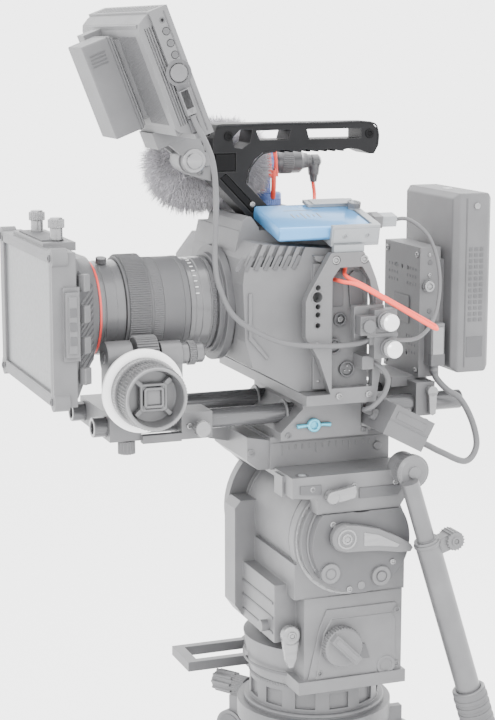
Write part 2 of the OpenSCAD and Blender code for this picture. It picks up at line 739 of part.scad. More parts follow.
// A tube swept along a route as rings of flat sides with closed ends.
module tube(route, d, sides, steps) {
    path = smooth(route, steps);
    along = tangents(path);
    side = carried(along, [0.2, 1, 0.1]);
    rings = len(path);
    points = [for (i = [0:rings - 1]) for (k = [0:sides - 1])
        path[i] + d / 2 * (cos(360 * k / sides) * side[i] + sin(360 * k / sides) * cross(along[i], side[i]))];
    walls = [for (i = [0:rings - 2]) for (k = [0:sides - 1]) let (n = (k + 1) % sides)
        [i * sides + k, (i + 1) * sides + k, (i + 1) * sides + n, i * sides + n]];
    caps = [[for (k = [0:sides - 1]) k], [for (k = [sides - 1:-1:0]) (rings - 1) * sides + k]];
    polyhedron(points, concat(walls, caps));
}

module monitor_cable() color("gray") rig() tube(monitor_route, 4, 8, 2);
module mic_cable() color("salmon") rig() tube(mic_route, 3, 8, 1);
module ssd_cable() color("gray") rig() tube(ssd_route, 3, 8, 1);
module power_cable_battery() color("gray") rig() tube(battery_route, 5, 8, 1);
module power_cable_camera() color("gray") rig() tube(camera_route, 4, 8, 1);

tripod_bowl();
carry_handle();
bowl_clamp_knob();
leg_upper_1();
leg_upper_2();
leg_upper_3();
leg_lower_1();
leg_lower_2();
leg_lower_3();
pan_base();
pan_housing();
pan_drag_knob();
pan_lock_lever();
tilt_cradle();
drum_end_cap();
tilt_lock_lever();
pan_bar();
pan_bar_grip();
sliding_plate();
plate_lock_lever();
rod_baseplate();
baseplate_lever();
rods();
camera_body();
cage();
lens_barrel();
focus_ring();
matte_box();
filter_glass();
matte_knob_far();
matte_knob_near();
follow_focus_body();
focus_wheel();
marking_disc();
focus_drive_gear();
follow_clamp_knob();
top_handle();
monitor_mount();
monitor();
monitor_button_1();
monitor_button_2();
monitor_button_3();
monitor_dial();
monitor_battery();
mic_body();
mic_windscreen();
mic_mount();
ssd();
ssd_clamp();
battery_plate();
v_battery();
rear_clamp_lever();
power_box();
cable_clamp();
cable_clamp_screws();
monitor_cable();
mic_cable();
ssd_cable();
power_cable_battery();
power_cable_camera();
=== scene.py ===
import math
import random

import bmesh
import bpy
from mathutils import Matrix, Vector


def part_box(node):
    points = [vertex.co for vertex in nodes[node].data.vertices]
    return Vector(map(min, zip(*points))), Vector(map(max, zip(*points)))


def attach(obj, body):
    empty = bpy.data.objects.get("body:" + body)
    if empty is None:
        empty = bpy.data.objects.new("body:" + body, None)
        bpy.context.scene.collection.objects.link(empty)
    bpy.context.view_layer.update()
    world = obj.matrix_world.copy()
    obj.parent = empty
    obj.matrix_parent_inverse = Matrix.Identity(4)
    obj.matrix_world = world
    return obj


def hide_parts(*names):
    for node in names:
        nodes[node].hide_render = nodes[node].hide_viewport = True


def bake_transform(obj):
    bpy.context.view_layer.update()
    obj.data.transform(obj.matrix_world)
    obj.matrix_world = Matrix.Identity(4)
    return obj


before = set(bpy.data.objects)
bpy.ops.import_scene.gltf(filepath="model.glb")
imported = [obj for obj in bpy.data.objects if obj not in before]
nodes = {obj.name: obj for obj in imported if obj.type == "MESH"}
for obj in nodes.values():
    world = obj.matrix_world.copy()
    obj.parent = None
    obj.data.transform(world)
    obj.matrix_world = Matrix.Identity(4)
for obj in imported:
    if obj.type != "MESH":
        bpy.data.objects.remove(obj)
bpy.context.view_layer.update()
random.seed(7)

# ---------- frames ----------
# Sizes below are in millimetres from the rods' front tips (x), the camera's middle (y) and the rods' axes (z).
rods_low, rods_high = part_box("rods")
ORIGIN = (rods_low.x, (rods_low.y + rods_high.y) / 2, (rods_low.z + rods_high.z) / 2)
RIG = Matrix.Translation(ORIGIN) @ Matrix.Scale(0.001, 4)
X = (1, 0, 0)
Y = (0, 1, 0)
Z = (0, 0, 1)
OUT = (0, -1, 0)


def tilted(corner, degrees, axis):
    """A frame set at a corner of the rig and turned about one axis."""
    return RIG @ Matrix.Translation(corner) @ Matrix.Rotation(math.radians(degrees), 4, axis)


MONITOR = tilted((78.7, 0, 216.6), -21.3, "Y")
DRIVE = tilted((131, -70, 135), 13, "X")
BOX = tilted((218, -90, 13), 28, "Y")
BAR = tilted((232, -92, -40), -17.5, "Y")


def placed(name, data):
    """A new object in the scene."""
    obj = bpy.data.objects.new(name, data)
    bpy.context.scene.collection.objects.link(obj)
    return obj


# ---------- camera ----------
cam = bpy.data.cameras.new("camera")
cam.lens = 87.9
cam.sensor_width = 36
cam_obj = placed("camera", cam)
cam_obj.location = (-0.5269, -1.2502, 0.9323)
cam_obj.rotation_euler = (math.radians(90 - 10.42), 0, math.radians(-20.57))
bpy.context.scene.camera = cam_obj


# ---------- materials ----------
def node(tree, kind, **values):
    n = tree.nodes.new(kind)
    for key, value in values.items():
        if hasattr(n, key):
            setattr(n, key, value)
        else:
            n.inputs[key.replace("_", " ")].default_value = value
    return n


# Grey finishes are dimmed to suit the bright surroundings; whites and colours only a little.
GREY_SHADE = 0.36
BRIGHT_SHADE = 0.9


def look(name, colour, rough=0.5, metal=0.0, grain=900, bump=0.08, spread=0.10, edge=0.25, coat=0.0,
         stretch=None, sheen=0.0):
    """A finish with mottled colour, fine grain, rounded edges and light wear along them."""
    grey = max(colour) - min(colour) < 0.1 and max(colour) < 0.7
    colour = [c * (GREY_SHADE if grey else BRIGHT_SHADE) for c in colour]
    m = bpy.data.materials.new(name)
    m.use_nodes = True
    t = m.node_tree
    bsdf = t.nodes["Principled BSDF"]
    where = node(t, "ShaderNodeTexCoord")
    space = where.outputs["Object"]
    if stretch:
        mapping = node(t, "ShaderNodeMapping")
        mapping.inputs["Scale"].default_value = stretch
        t.links.new(space, mapping.inputs["Vector"])
        space = mapping.outputs["Vector"]
    broad = node(t, "ShaderNodeTexNoise", Scale=38.0, Detail=5.0)
    fine = node(t, "ShaderNodeTexNoise", Scale=float(grain), Detail=3.0)
    t.links.new(space, broad.inputs["Vector"])
    t.links.new(space, fine.inputs["Vector"])
    ramp = node(t, "ShaderNodeValToRGB")
    low = [max(c * (1 - spread), 0) for c in colour]
    high = [min(c * (1 + spread), 1) for c in colour]
    ramp.color_ramp.elements[0].position = 0.3
    ramp.color_ramp.elements[1].position = 0.7
    ramp.color_ramp.elements[0].color = (*low, 1)
    ramp.color_ramp.elements[1].color = (*high, 1)
    t.links.new(broad.outputs["Fac"], ramp.inputs["Fac"])
    surface = ramp.outputs["Color"]
    round_edge = node(t, "ShaderNodeBevel", samples=4, Radius=0.0009)
    if edge:
        plain = node(t, "ShaderNodeNewGeometry")
        dot = node(t, "ShaderNodeVectorMath", operation="DOT_PRODUCT")
        t.links.new(round_edge.outputs["Normal"], dot.inputs[0])
        t.links.new(plain.outputs["Normal"], dot.inputs[1])
        worn = node(t, "ShaderNodeMapRange")
        worn.inputs["From Min"].default_value = 0.985
        worn.inputs["From Max"].default_value = 0.80
        worn.inputs["To Max"].default_value = edge
        t.links.new(dot.outputs["Value"], worn.inputs["Value"])
        mix = node(t, "ShaderNodeMix", data_type="RGBA")
        mix.inputs[7].default_value = (*[min(c * 1.7 + 0.12, 1) for c in colour], 1)
        t.links.new(worn.outputs["Result"], mix.inputs[0])
        t.links.new(surface, mix.inputs[6])
        surface = mix.outputs[2]
    t.links.new(surface, bsdf.inputs["Base Color"])
    shine = node(t, "ShaderNodeMapRange")
    shine.inputs["To Min"].default_value = max(rough - 0.08, 0.02)
    shine.inputs["To Max"].default_value = min(rough + 0.10, 1)
    t.links.new(fine.outputs["Fac"], shine.inputs["Value"])
    t.links.new(shine.outputs["Result"], bsdf.inputs["Roughness"])
    relief = node(t, "ShaderNodeBump", Strength=bump, Distance=0.0004)
    t.links.new(fine.outputs["Fac"], relief.inputs["Height"])
    t.links.new(round_edge.outputs["Normal"], relief.inputs["Normal"])
    t.links.new(relief.outputs["Normal"], bsdf.inputs["Normal"])
    bsdf.inputs["Metallic"].default_value = metal
    bsdf.inputs["Coat Weight"].default_value = coat
    bsdf.inputs["Specular IOR Level"].default_value = 0.12 if max(colour) < 0.02 else 0.5
    bsdf.inputs["Sheen Weight"].default_value = sheen
    m.diffuse_color = (*colour, 1)
    return m


def grey(value):
    return (value, value, value + 0.01)


M = {
    "tripod": look("tripod_paint", grey(0.27), 0.45, 0.1, 1100, 0.15),
    "leg": look("leg_tube", grey(0.33), 0.35, 0.5, 700, 0.05, stretch=(1, 1, 0.05)),
    "foot": look("leg_foot", grey(0.25), 0.5, 0.1, 900, 0.15),
    "plastic": look("dark_plastic", grey(0.31), 0.5, 0.0, 1600, 0.22),
    "head": look("head_paint", grey(0.33), 0.42, 0.1, 1500, 0.2),
    "head_dark": look("head_dark", grey(0.2), 0.4, 0.1, 1300, 0.15),
    "bright": look("bright_metal", grey(0.60), 0.22, 0.5, 800, 0.05, stretch=(1, 1, 8)),
    "silver": look("silver_metal", grey(0.72), 0.18, 0.5, 500, 0.05),
    "bar": look("bar_tube", grey(0.34), 0.35, 0.3, 700, 0.05),
    "grip": look("grip_rubber", grey(0.26), 0.7, 0.0, 1200, 0.4),
    "plate": look("plate_alloy", grey(0.33), 0.4, 0.25, 1400, 0.14),
    "lever": look("lever_blue", (0.10, 0.42, 0.56), 0.3, 0.5, 900, 0.06),
    "rod": look("rod_finish", grey(0.25), 0.25, 0.4, 500, 0.04, stretch=(0.05, 1, 1)),
    "shell": look("camera_shell", grey(0.30), 0.55, 0.0, 2200, 0.3),
    "shell_dark": look("camera_dark", grey(0.19), 0.5, 0.0, 1600, 0.2),
    "lens": look("lens_finish", grey(0.27), 0.3, 0.1, 1200, 0.06, coat=0.2),
    "lens_dark": look("lens_dark", grey(0.17), 0.35, 0.1, 1200, 0.08),
    "rubber": look("focus_rubber", grey(0.21), 0.6, 0.0, 1600, 0.2),
    "red": look("red_ring", (0.78, 0.06, 0.05), 0.35, 0.0, 900, 0.03, edge=0),
    "matte": look("matte_box_shell", grey(0.30), 0.5, 0.0, 1600, 0.18),
    "matte_dark": look("matte_box_inset", grey(0.19), 0.6, 0.0, 1500, 0.2),
    "pane": look("filter_pane", (0.30, 0.31, 0.32), 0.35, 0.0, 300, 0.01, spread=0.05, edge=0.1, coat=0.05),
    "wheel": look("wheel_finish", grey(0.32), 0.32, 0.35, 900, 0.05),
    "white": look("marking_white", (0.86, 0.86, 0.86), 0.45, 0.0, 900, 0.04, spread=0.02, edge=0.05),
    "handle": look("handle_black", (0.028, 0.028, 0.03), 0.42, 0.1, 2200, 0.2, spread=0.2, edge=0.35),
    "handle_in": look("handle_insert", (0.012, 0.012, 0.013), 0.7, 0.0, 1500, 0.2, edge=0.1),
    "monitor": look("monitor_shell", grey(0.32), 0.5, 0.0, 1800, 0.2),
    "monitor_dark": look("monitor_dark", grey(0.19), 0.5, 0.0, 1500, 0.15),
    "screen": look("screen_glass", (0.03, 0.03, 0.035), 0.08, 0.0, 200, 0.01, spread=0.1, edge=0, coat=0.6),
    "cell": look("monitor_cell", grey(0.29), 0.5, 0.0, 1600, 0.2),
    "mic": look("mic_metal", grey(0.24), 0.35, 0.3, 1200, 0.08),
    "fur": look("fur", (0.72, 0.70, 0.74), 0.85, 0.0, 400, 0.05, spread=0.3, edge=0, sheen=0.4),
    "blue": look("mount_blue", (0.14, 0.22, 0.52), 0.4, 0.2, 1200, 0.1),
    "ssd": look("ssd_blue", (0.09, 0.30, 0.60), 0.3, 0.35, 2200, 0.05, spread=0.05, coat=0.2),
    "ssd_light": look("ssd_light", (0.63, 0.66, 0.69), 0.35, 0.2, 1500, 0.08),
    "pack": look("battery_shell", grey(0.28), 0.55, 0.0, 1900, 0.25),
    "pack_dark": look("battery_dark", grey(0.18), 0.5, 0.0, 1500, 0.15),
    "power": look("power_box_shell", grey(0.25), 0.5, 0.0, 1700, 0.2),
    "clamp": look("clamp_black", grey(0.28), 0.4, 0.2, 1300, 0.1),
    "cable": look("cable_grey", grey(0.24), 0.5, 0.0, 900, 0.1, edge=0),
    "coral": look("cable_coral", (0.84, 0.08, 0.05), 0.5, 0.0, 900, 0.06, spread=0.06, edge=0),
}

CAD_FINISH = {
    "tripod": "tripod_bowl carry_handle pan_base",
    "leg": "leg_upper_1 leg_upper_2 leg_upper_3",
    "foot": "leg_lower_1 leg_lower_2 leg_lower_3",
    "plastic": "bowl_clamp_knob pan_drag_knob monitor_dial follow_clamp_knob",
    "head": "pan_housing tilt_cradle tilt_lock_lever",
    "head_dark": "drum_end_cap",
    "bright": "pan_lock_lever plate_lock_lever matte_knob_far matte_knob_near rear_clamp_lever",
    "silver": "cable_clamp_screws",
    "bar": "pan_bar monitor_mount",
    "grip": "pan_bar_grip",
    "plate": "sliding_plate rod_baseplate cage follow_focus_body",
    "ssd_light": "ssd_clamp",
    "lever": "baseplate_lever",
    "rod": "rods",
    "shell": "camera_body",
    "lens": "lens_barrel",
    "rubber": "focus_ring",
    "matte": "matte_box",
    "pane": "filter_glass",
    "wheel": "focus_wheel focus_drive_gear",
    "white": "marking_disc",
    "handle": "top_handle",
    "monitor": "monitor monitor_button_1 monitor_button_2 monitor_button_3",
    "cell": "monitor_battery",
    "mic": "mic_body",
    "fur": "mic_windscreen",
    "blue": "mic_mount",
    "ssd": "ssd",
    "pack": "battery_plate v_battery",
    "power": "power_box",
    "clamp": "cable_clamp",
    "cable": "monitor_cable ssd_cable power_cable_battery power_cable_camera",
    "coral": "mic_cable",
}
for finish, names in CAD_FINISH.items():
    for name in names.split():
        slots = nodes[name].data.materials
        slots.clear()
        slots.append(M[finish])


# ---------- making pieces ----------
def toward(direction):
    """A turn that takes Z to a direction."""
    return Vector((0, 0, 1)).rotation_difference(Vector(direction)).to_matrix().to_4x4()


def around(sides):
    """Points around a circle of radius 1."""
    return [(math.cos(2 * math.pi * k / sides), math.sin(2 * math.pi * k / sides)) for k in range(sides)]


BOX_FACES = [(0, 3, 2, 1), (4, 5, 6, 7), (0, 1, 5, 4), (1, 2, 6, 5), (2, 3, 7, 6), (3, 0, 4, 7)]


class Piece:
    """One new mesh piece, drawn in millimetres in a local frame."""

    def __init__(self, name, body, slot, finish, place=RIG):
        self.bm = bmesh.new()
        self.name, self.body, self.slot, self.finish, self.place = name, body, slot, finish, place

    def add(self, points, faces, at=None):
        at = at or Matrix.Identity(4)
        made = [self.bm.verts.new(at @ Vector(p)) for p in points]
        for face in faces:
            self.bm.faces.new([made[i] for i in face])
        return self

    def block(self, x, y, z, turn=None):
        """A box between two x, y and z values, turned by (degrees, axis, centre) if one is given."""
        m = Matrix.Identity(4)
        if turn:
            degrees, axis, centre = turn
            m = Matrix.Translation(centre) @ Matrix.Rotation(math.radians(degrees), 4, axis)
            m = m @ Matrix.Translation(-Vector(centre))
        pts = [(x[i], y[j], up) for up in z for i, j in ((0, 0), (1, 0), (1, 1), (0, 1))]
        return self.add(pts, BOX_FACES, m)

    def lathe(self, at, direction, profile, sides=64):
        """A round profile of (along, radius) points, closed where the radius is 0."""
        m = Matrix.Translation(at) @ toward(direction)
        pts, rows = [], []
        for along, r in profile:
            if r < 1e-6:
                rows.append([len(pts)])
                pts.append((0, 0, along))
            else:
                rows.append(list(range(len(pts), len(pts) + sides)))
                pts += [(r * x, r * y, along) for x, y in around(sides)]
        faces = []
        for a, b in zip(rows, rows[1:]):
            for k in range(sides):
                n = (k + 1) % sides
                if len(a) > 1 and len(b) > 1:
                    faces.append((a[k], a[n], b[n], b[k]))
                elif len(a) > 1:
                    faces.append((a[k], a[n], b[0]))
                elif len(b) > 1:
                    faces.append((a[0], b[n], b[k]))
        return self.add(pts, faces, m)

    def rod(self, at, direction, r, length, sides=32, chamfer=0.4):
        """A round bar with small chamfers."""
        c = min(chamfer, r * 0.4, length * 0.3)
        profile = [(0, 0), (0, r - c), (c, r), (length - c, r), (length, r - c), (length, 0)]
        return self.lathe(at, direction, profile, sides)

    def ring(self, at, direction, r_in, r_out, length, sides=64, chamfer=0.3):
        """A tube with small chamfers."""
        c = chamfer
        profile = [(c, r_in), (0, r_in + c), (0, r_out - c), (c, r_out), (length - c, r_out), (length, r_out - c),
                   (length, r_in + c), (length - c, r_in), (c, r_in)]
        return self.lathe(at, direction, profile, sides)

    def gear(self, at, direction, r_in, r_out, length, teeth, hollow=0.0, duty=0.5):
        """A bar with teeth or fine ribs along it."""
        m = Matrix.Translation(at) @ toward(direction)
        outline = []
        step = 2 * math.pi / teeth
        tooth = ((0.5 - duty / 2, r_in), (0.5 - duty / 4, r_out), (0.5 + duty / 4, r_out), (0.5 + duty / 2, r_in))
        for k in range(teeth):
            a = 2 * math.pi * k / teeth
            for part, r in tooth:
                outline.append((r * math.cos(a + step * part), r * math.sin(a + step * part)))
        n = len(outline)
        pts = [(x, y, 0) for x, y in outline] + [(x, y, length) for x, y in outline]
        faces = [(k, (k + 1) % n, n + (k + 1) % n, n + k) for k in range(n)]
        if hollow:
            bore = [(hollow * x / math.hypot(x, y), hollow * y / math.hypot(x, y)) for x, y in outline]
            pts += [(x, y, z) for z in (0, length) for x, y in bore]
            faces += [(2 * n + k, 2 * n + (k + 1) % n, (k + 1) % n, k) for k in range(n)]
            faces += [(n + k, n + (k + 1) % n, 3 * n + (k + 1) % n, 3 * n + k) for k in range(n)]
            faces += [(2 * n + (k + 1) % n, 2 * n + k, 3 * n + k, 3 * n + (k + 1) % n) for k in range(n)]
        else:
            faces += [tuple(range(n - 1, -1, -1)), tuple(range(n, 2 * n))]
        return self.add(pts, faces, m)

    def slab(self, outline, y):
        """An x-z outline with a thickness along y."""
        n = len(outline)
        pts = [(x, y[0], z) for x, z in outline] + [(x, y[1], z) for x, z in outline]
        faces = [(k, (k + 1) % n, n + (k + 1) % n, n + k) for k in range(n)]
        return self.add(pts, faces + [tuple(range(n - 1, -1, -1)), tuple(range(n, 2 * n))])

    def tube(self, points, r, sides=16, steps=6):
        """A round tube through points; r is a radius, or gives one from the share of the way along."""
        path = smooth_route(points, steps)
        rings = []
        side = Vector((0.21, 0.93, 0.13))
        for i, p in enumerate(path):
            t = (path[min(i + 1, len(path) - 1)] - path[max(i - 1, 0)]).normalized()
            side = (side - side.dot(t) * t).normalized()
            up = t.cross(side)
            radius = r(i / (len(path) - 1)) if callable(r) else r
            rings.append([p + radius * (x * side + y * up) for x, y in around(sides)])
        pts = [q for ring in rings for q in ring]
        faces = [(i * sides + k, i * sides + (k + 1) % sides, (i + 1) * sides + (k + 1) % sides, (i + 1) * sides + k)
                 for i in range(len(rings) - 1) for k in range(sides)]
        faces += [tuple(range(sides - 1, -1, -1)), tuple((len(rings) - 1) * sides + k for k in range(sides))]
        self.path = path
        return self.add(pts, faces)

    def screw(self, at, direction, r=3.0, h=1.4):
        """A socket screw's head with a hexagonal recess."""
        self.lathe(at, direction, [(0, 0), (0, r), (h - 0.4, r), (h, r - 0.4), (h, r * 0.55)], 24)
        return self.lathe(at, direction, [(h, r * 0.55), (h * 0.4, r * 0.5), (h * 0.4, 0)], 6)

    def done(self, *stands_for, bevel=0.35, angle=32, rides=True):
        """Makes the object, with its finish and body, and hides the plain nodes it stands for."""
        bmesh.ops.recalc_face_normals(self.bm, faces=self.bm.faces)
        mesh = bpy.data.meshes.new(self.name)
        self.bm.to_mesh(mesh)
        self.bm.free()
        mesh.transform(self.place)
        obj = placed(self.name, mesh)
        mesh.materials.append(M[self.finish])
        mesh.polygons.foreach_set("use_smooth", [True] * len(mesh.polygons))
        if bevel:
            mod = obj.modifiers.new("edges", "BEVEL")
            mod.width = bevel / 1000
            mod.segments = 2
            mod.limit_method = "ANGLE"
            mod.angle_limit = math.radians(38)
            mod.harden_normals = True
        mesh.set_sharp_from_angle(angle=math.radians(angle))
        if rides:
            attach(obj, self.body)
        if stands_for:
            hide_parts(*stands_for)
        return obj


def smooth_route(points, steps):
    """A smooth curve through points, with some steps between each two."""
    p = [Vector(q) for q in points]
    out = []
    for i in range(len(p) - 1):
        a, b, c, d = p[max(i - 1, 0)], p[i], p[i + 1], p[min(i + 2, len(p) - 1)]
        for k in range(steps):
            t = k / steps
            square, cube = (2 * a - 5 * b + 4 * c - d) * t * t, (3 * b - a - 3 * c + d) * t ** 3
            out.append(0.5 * (2 * b + (c - a) * t + square + cube))
    return out + [p[-1]]


# ---------- cords ---------- The same routes as the solids'.
ROUTES = {
    "monitor_cable": (4, "cable", "cable_grey", [(62, -79.5, 228.5), (65, -80, 221), (71, -82, 209), (76, -83, 194),
        (78, -83, 168), (77, -83, 127), (81, -83, 105), (94, -83, 83), (126, -84, 65), (160, -86, 60), (184, -90, 61),
        (196, -91, 65)]),
    "mic_cable": (3, "coral", "cable_coral", [(209, 54, 168), (210, 53, 158), (206, 44, 151), (198, 28, 149),
        (192, 8, 149), (191, -8, 149), (191, -11.5, 145), (191, -18, 143), (191, -30, 142.3), (191, -40, 137),
        (190, -54, 131), (189, -64, 129), (187, -68.2, 122), (184, -68.2, 113), (182, -76, 109), (190, -86, 104),
        (214, -90, 90), (244, -91, 73), (247, -94, 70), (243, -96, 71), (212, -95, 89), (186, -91, 104),
        (177, -82, 106), (176, -66, 106)]),
    "ssd_cable": (3, "cable", "cable_grey", [(235, -44, 146), (245, -49, 146), (258, -56, 134), (265, -60, 112),
        (264, -64, 88), (254, -72, 69), (236, -84, 61), (214, -91, 62)]),
    "power_cable_battery": (5, "cable", "cable_grey", [(273.5, -38.5, 26), (275, -41, 20), (281, -47, 12),
        (291, -52, 4), (299, -57, -14), (300, -62, -32), (289, -65, -42), (268, -66, -33), (256, -66, -26.5),
        (246, -66, -21)]),
    "power_cable_camera": (4, "cable", "cable_grey", [(201, -80, 45), (207, -84, 41), (212, -86, 32), (209, -86, 21),
        (202, -83, 12), (199, -76, 8), (201, -69, 6), (208, -66, 2.5)]),
}
for cord_name, (thick, finish, slot_name, points) in ROUTES.items():
    p = Piece(cord_name + "_cord", "rig", slot_name, finish)
    p.tube(points, thick / 2, 16, 8)
    bends = cord_name == "monitor_cable"
    cord_obj = p.done(cord_name, bevel=0, rides=not bends)
    if bends:
        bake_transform(cord_obj)

# ---------- lens ----------
def lens_at(x):
    return (x, 0, 84)


p = Piece("lens_front_barrel", "rig", "lens_finish", "lens")
p.lathe(lens_at(0), X, [(0.4, 31), (0, 31.4), (0, 34.2), (0.5, 34.6), (2.6, 34.6), (2.8, 34.2), (5.2, 34.2),
        (5.4, 34.7), (9.5, 35), (9.8, 34.4), (10.8, 34.4), (11.1, 35.2), (19, 35.3), (19.4, 34.8), (25.4, 35.6),
        (25.6, 30.1)], 96)
p.lathe(lens_at(0), X, [(0.4, 31), (3, 29), (3, 27), (6.5, 25), (6.5, 0)], 96)
p.lathe(lens_at(75.6), X, [(0, 30.1), (0, 34.4), (0.5, 34.8), (4, 34.8), (4.3, 34.4), (9, 34.4), (9.4, 35.0),
        (15.8, 35.1), (16.2, 34.4), (18, 34.4), (18.4, 34.9), (20.5, 34.9), (21, 33.8), (24, 33.8), (24, 30)], 96)
p.lathe(lens_at(25.6), X, [(0, 30), (50, 30)], 64)
p.done("lens_barrel", bevel=0)

p = Piece("lens_red_ring", "rig", "lens_finish", "red")
p.lathe(lens_at(5.6), X, [(0, 34.2), (0.2, 35.3), (1.7, 35.3), (1.9, 34.2)], 96)
p.done(bevel=0)

p = Piece("lens_marks", "rig", "marking_white", "white")
for k in range(11):
    a = math.radians(200 + 8 * k)
    at = Matrix.Translation((80, 0, 84)) @ Matrix.Rotation(-a, 4, "X")
    p.add([at @ Vector((x, y, z)) for y in (34.2, 34.9) for x, z in ((0, -0.3), (2.6, -0.3), (2.6, 0.3), (0, 0.3))],
          BOX_FACES)
p.done(bevel=0)

p = Piece("lens_lock_tab", "rig", "lens_finish", "lens_dark")
p.gear((14, -9, 118.4), (0, -0.25, 1), 3.4, 4, 4.2, 24)
p.gear((93, 0, 84), X, 35.0, 35.5, 3, 120, hollow=33)
p.done(bevel=0)

p = Piece("focus_ring_rubber", "focus_ring", "focus_rubber", "rubber")
p.gear(lens_at(28), X, 38.5, 39.3, 16, 140, hollow=30.3)
p.ring(lens_at(26), X, 30.2, 37.6, 1.9)
p.ring(lens_at(44.1), X, 30.2, 37.2, 2.4)
p.gear(lens_at(46.6), X, 35.9, 36.3, 8, 140, hollow=30.3, duty=0.6)
p.ring(lens_at(54.8), X, 30.2, 36.2, 15.8)
p.ring(lens_at(70.7), X, 30.2, 36.4, 4.2)
p.done("focus_ring", bevel=0, angle=25)

# ---------- matte box ----------
p = Piece("matte_box_frames", "rig", "matte_box_shell", "matte")
for x, grow in ((-41.2, 0), (-33.5, 1.2), (-27, 0)):
    y0, y1, z0, z1 = -76 - grow, 74 + grow, 30 - grow, 133 + grow
    bars = ((y0, y0 + 5, z0, z1), (y1 - 5, y1, z0, z1), (y0, y1, z0, z0 + 5), (y0, y1, z1 - 5, z1))
    for ya, yb, za, zb in bars:
        p.block((x, x + 3.4), (ya, yb), (za, zb))
for y in (-76, 76):
    for z in (31, 132):
        p.rod((-41.5, y, z), X, 5.4, 12.5, 32, 1.2)
for z in (48, 70, 92, 114):
    p.block((-20, -13), (-78.5, -73), (z - 6, z + 6), turn=(38, "Z", (-17, -76, z)))
p.block((-33, -23), (-85.5, -81.8), (63, 109))
p.block((-31, -25), (-87, -85), (66, 106))
p.done(bevel=0.6)

p = Piece("matte_box_insets", "rig", "matte_box_shell", "matte_dark")
for y in (-76, 76):
    for z in (31, 132):
        p.screw((-41.4, y, z), (-1, 0, 0), 2.6, 1.2)
for z in (75, 85, 95):
    p.block((-30.5, -25.5), (-87.6, -86.8), (z - 3, z + 3))
p.block((-36, -20), (-34, 36), (139, 140.2))
p.done(bevel=0.3)

slope = math.atan2(35, 24)
PANEL = RIG @ Matrix.Translation((-20.5, -72.5, 82)) @ Matrix.Rotation(slope, 4, "Z")
p = Piece("matte_box_side_panel", "rig", "matte_box_shell", "matte_dark", PANEL)
p.slab([(0, -40), (30, -26), (30, 26), (0, 40)], (-0.9, 0.6))
p.done(bevel=0.4)
p = Piece("matte_box_side_ribs", "rig", "matte_box_shell", "matte", PANEL)
for k in range(12):
    low = -36 + 4.6 * k
    p.add([(x, y, low + z) for y in (-1.6, 0) for x, z in ((2, 0), (27, 9), (27, 11), (2, 2))], BOX_FACES)
p.done(bevel=0)

for side, y in (("far", 25), ("near", -32)):
    p = Piece("matte_knob_" + side + "_cap", "matte_knob_" + side, "bright_metal", "bright")
    p.rod((-25, y, 134.2), Z, 3, 6, 24)
    p.rod((-25, y, 139.4), Z, 4.6, 9.5, 32)
    p.gear((-25, y, 148.4), Z, 5.3, 6, 6, 20)
    p.lathe((-25, y, 154.4), Z, [(0, 0), (0, 5), (1.3, 4.2), (1.3, 0)], 32)
    p.done("matte_knob_" + side, bevel=0.2)

# ---------- follow focus ----------
FOCUS_X, FOCUS_Z = 27, 33


def focus_at(y):
    return (FOCUS_X, y, FOCUS_Z)


p = Piece("focus_wheel_metal", "wheel", "wheel_finish", "wheel")
p.lathe(focus_at(-51), OUT, [(0, 0), (0, 4.9), (15.4, 4.9), (15.4, 20.5), (21.5, 21), (21.5, 24.8), (29, 24.8),
        (29.4, 22.8), (30, 22.8)], 72)
p.gear(focus_at(-81), OUT, 22.7, 23.5, 8, 60, hollow=21)
p.ring(focus_at(-89.1), OUT, 20.2, 23.1, 1.8, 72)
p.gear(focus_at(-91), OUT, 22.7, 23.5, 9, 60, hollow=20)
p.lathe(focus_at(-99.8), OUT, [(0, 23.2), (1.6, 22.6), (2.1, 21.6), (1.6, 20.2), (-3, 19.6), (-10, 18.8), (-11, 18),
        (-11, 0)], 72)
p.done("focus_wheel", bevel=0, angle=28)

p = Piece("focus_wheel_rim", "wheel", "wheel_finish", "bright")
p.ring(focus_at(-99.4), OUT, 20.8, 22.6, 2.4, 72)
p.gear(focus_at(-77.2), OUT, 24.9, 25.5, 3.4, 72, hollow=22)
p.done(bevel=0.3)

p = Piece("focus_wheel_hub", "wheel", "wheel_finish", "wheel")
for turn in (45, 135, 225, 315):
    p.block((25.2, 28.8), (-94.5, -90), (41, 51.4), turn=(turn, "Y", focus_at(0)))
for half, a, b in ((9.0, -91, -95), (6.4, -94, -96.4)):
    for s in (-1, 1):
        x, z = FOCUS_X + s * half, FOCUS_Z + s * half
        p.block((FOCUS_X - half, FOCUS_X + half), (b, a), (z - 1.1, z + 1.1))
        p.block((x - 1.1, x + 1.1), (b, a), (FOCUS_Z - half, FOCUS_Z + half))
p.block((21.4, 32.6), (-94.2, -90), (27.4, 38.6))
p.done(bevel=0.7)

p = Piece("focus_marking_ring", "wheel", "marking_white", "white")
p.lathe(focus_at(-67.4), OUT, [(0, 21.2), (0, 30), (0.6, 30.5), (3.2, 30.5), (4.8, 26.6), (4.8, 24.9), (4.2, 21.2),
        (0, 21.2)], 96)
p.done("marking_disc", bevel=0)

# The drive gear stands 46 mm to the near side, with its teeth 0.3 mm clear of the ring's.
p = Piece("focus_drive_parts", "drive", "wheel_finish", "wheel")
drive_z = 84 - math.sqrt((39.5 + 15 + 0.3) ** 2 - 46 ** 2)
p.rod((4, -46, drive_z), X, 4, 74, 24)
p.gear((27, -46, drive_z), X, 13.8, 15, 16, 38, hollow=3)
p.rod((62.4, -46, drive_z), X, 8, 5.4, 32)
p.gear((68, -46, drive_z), X, 8.2, 9, 5, 32, hollow=2)
p.rod((73, -46, drive_z), X, 7.5, 7, 32, 1)
p.done("focus_drive_gear", bevel=0)

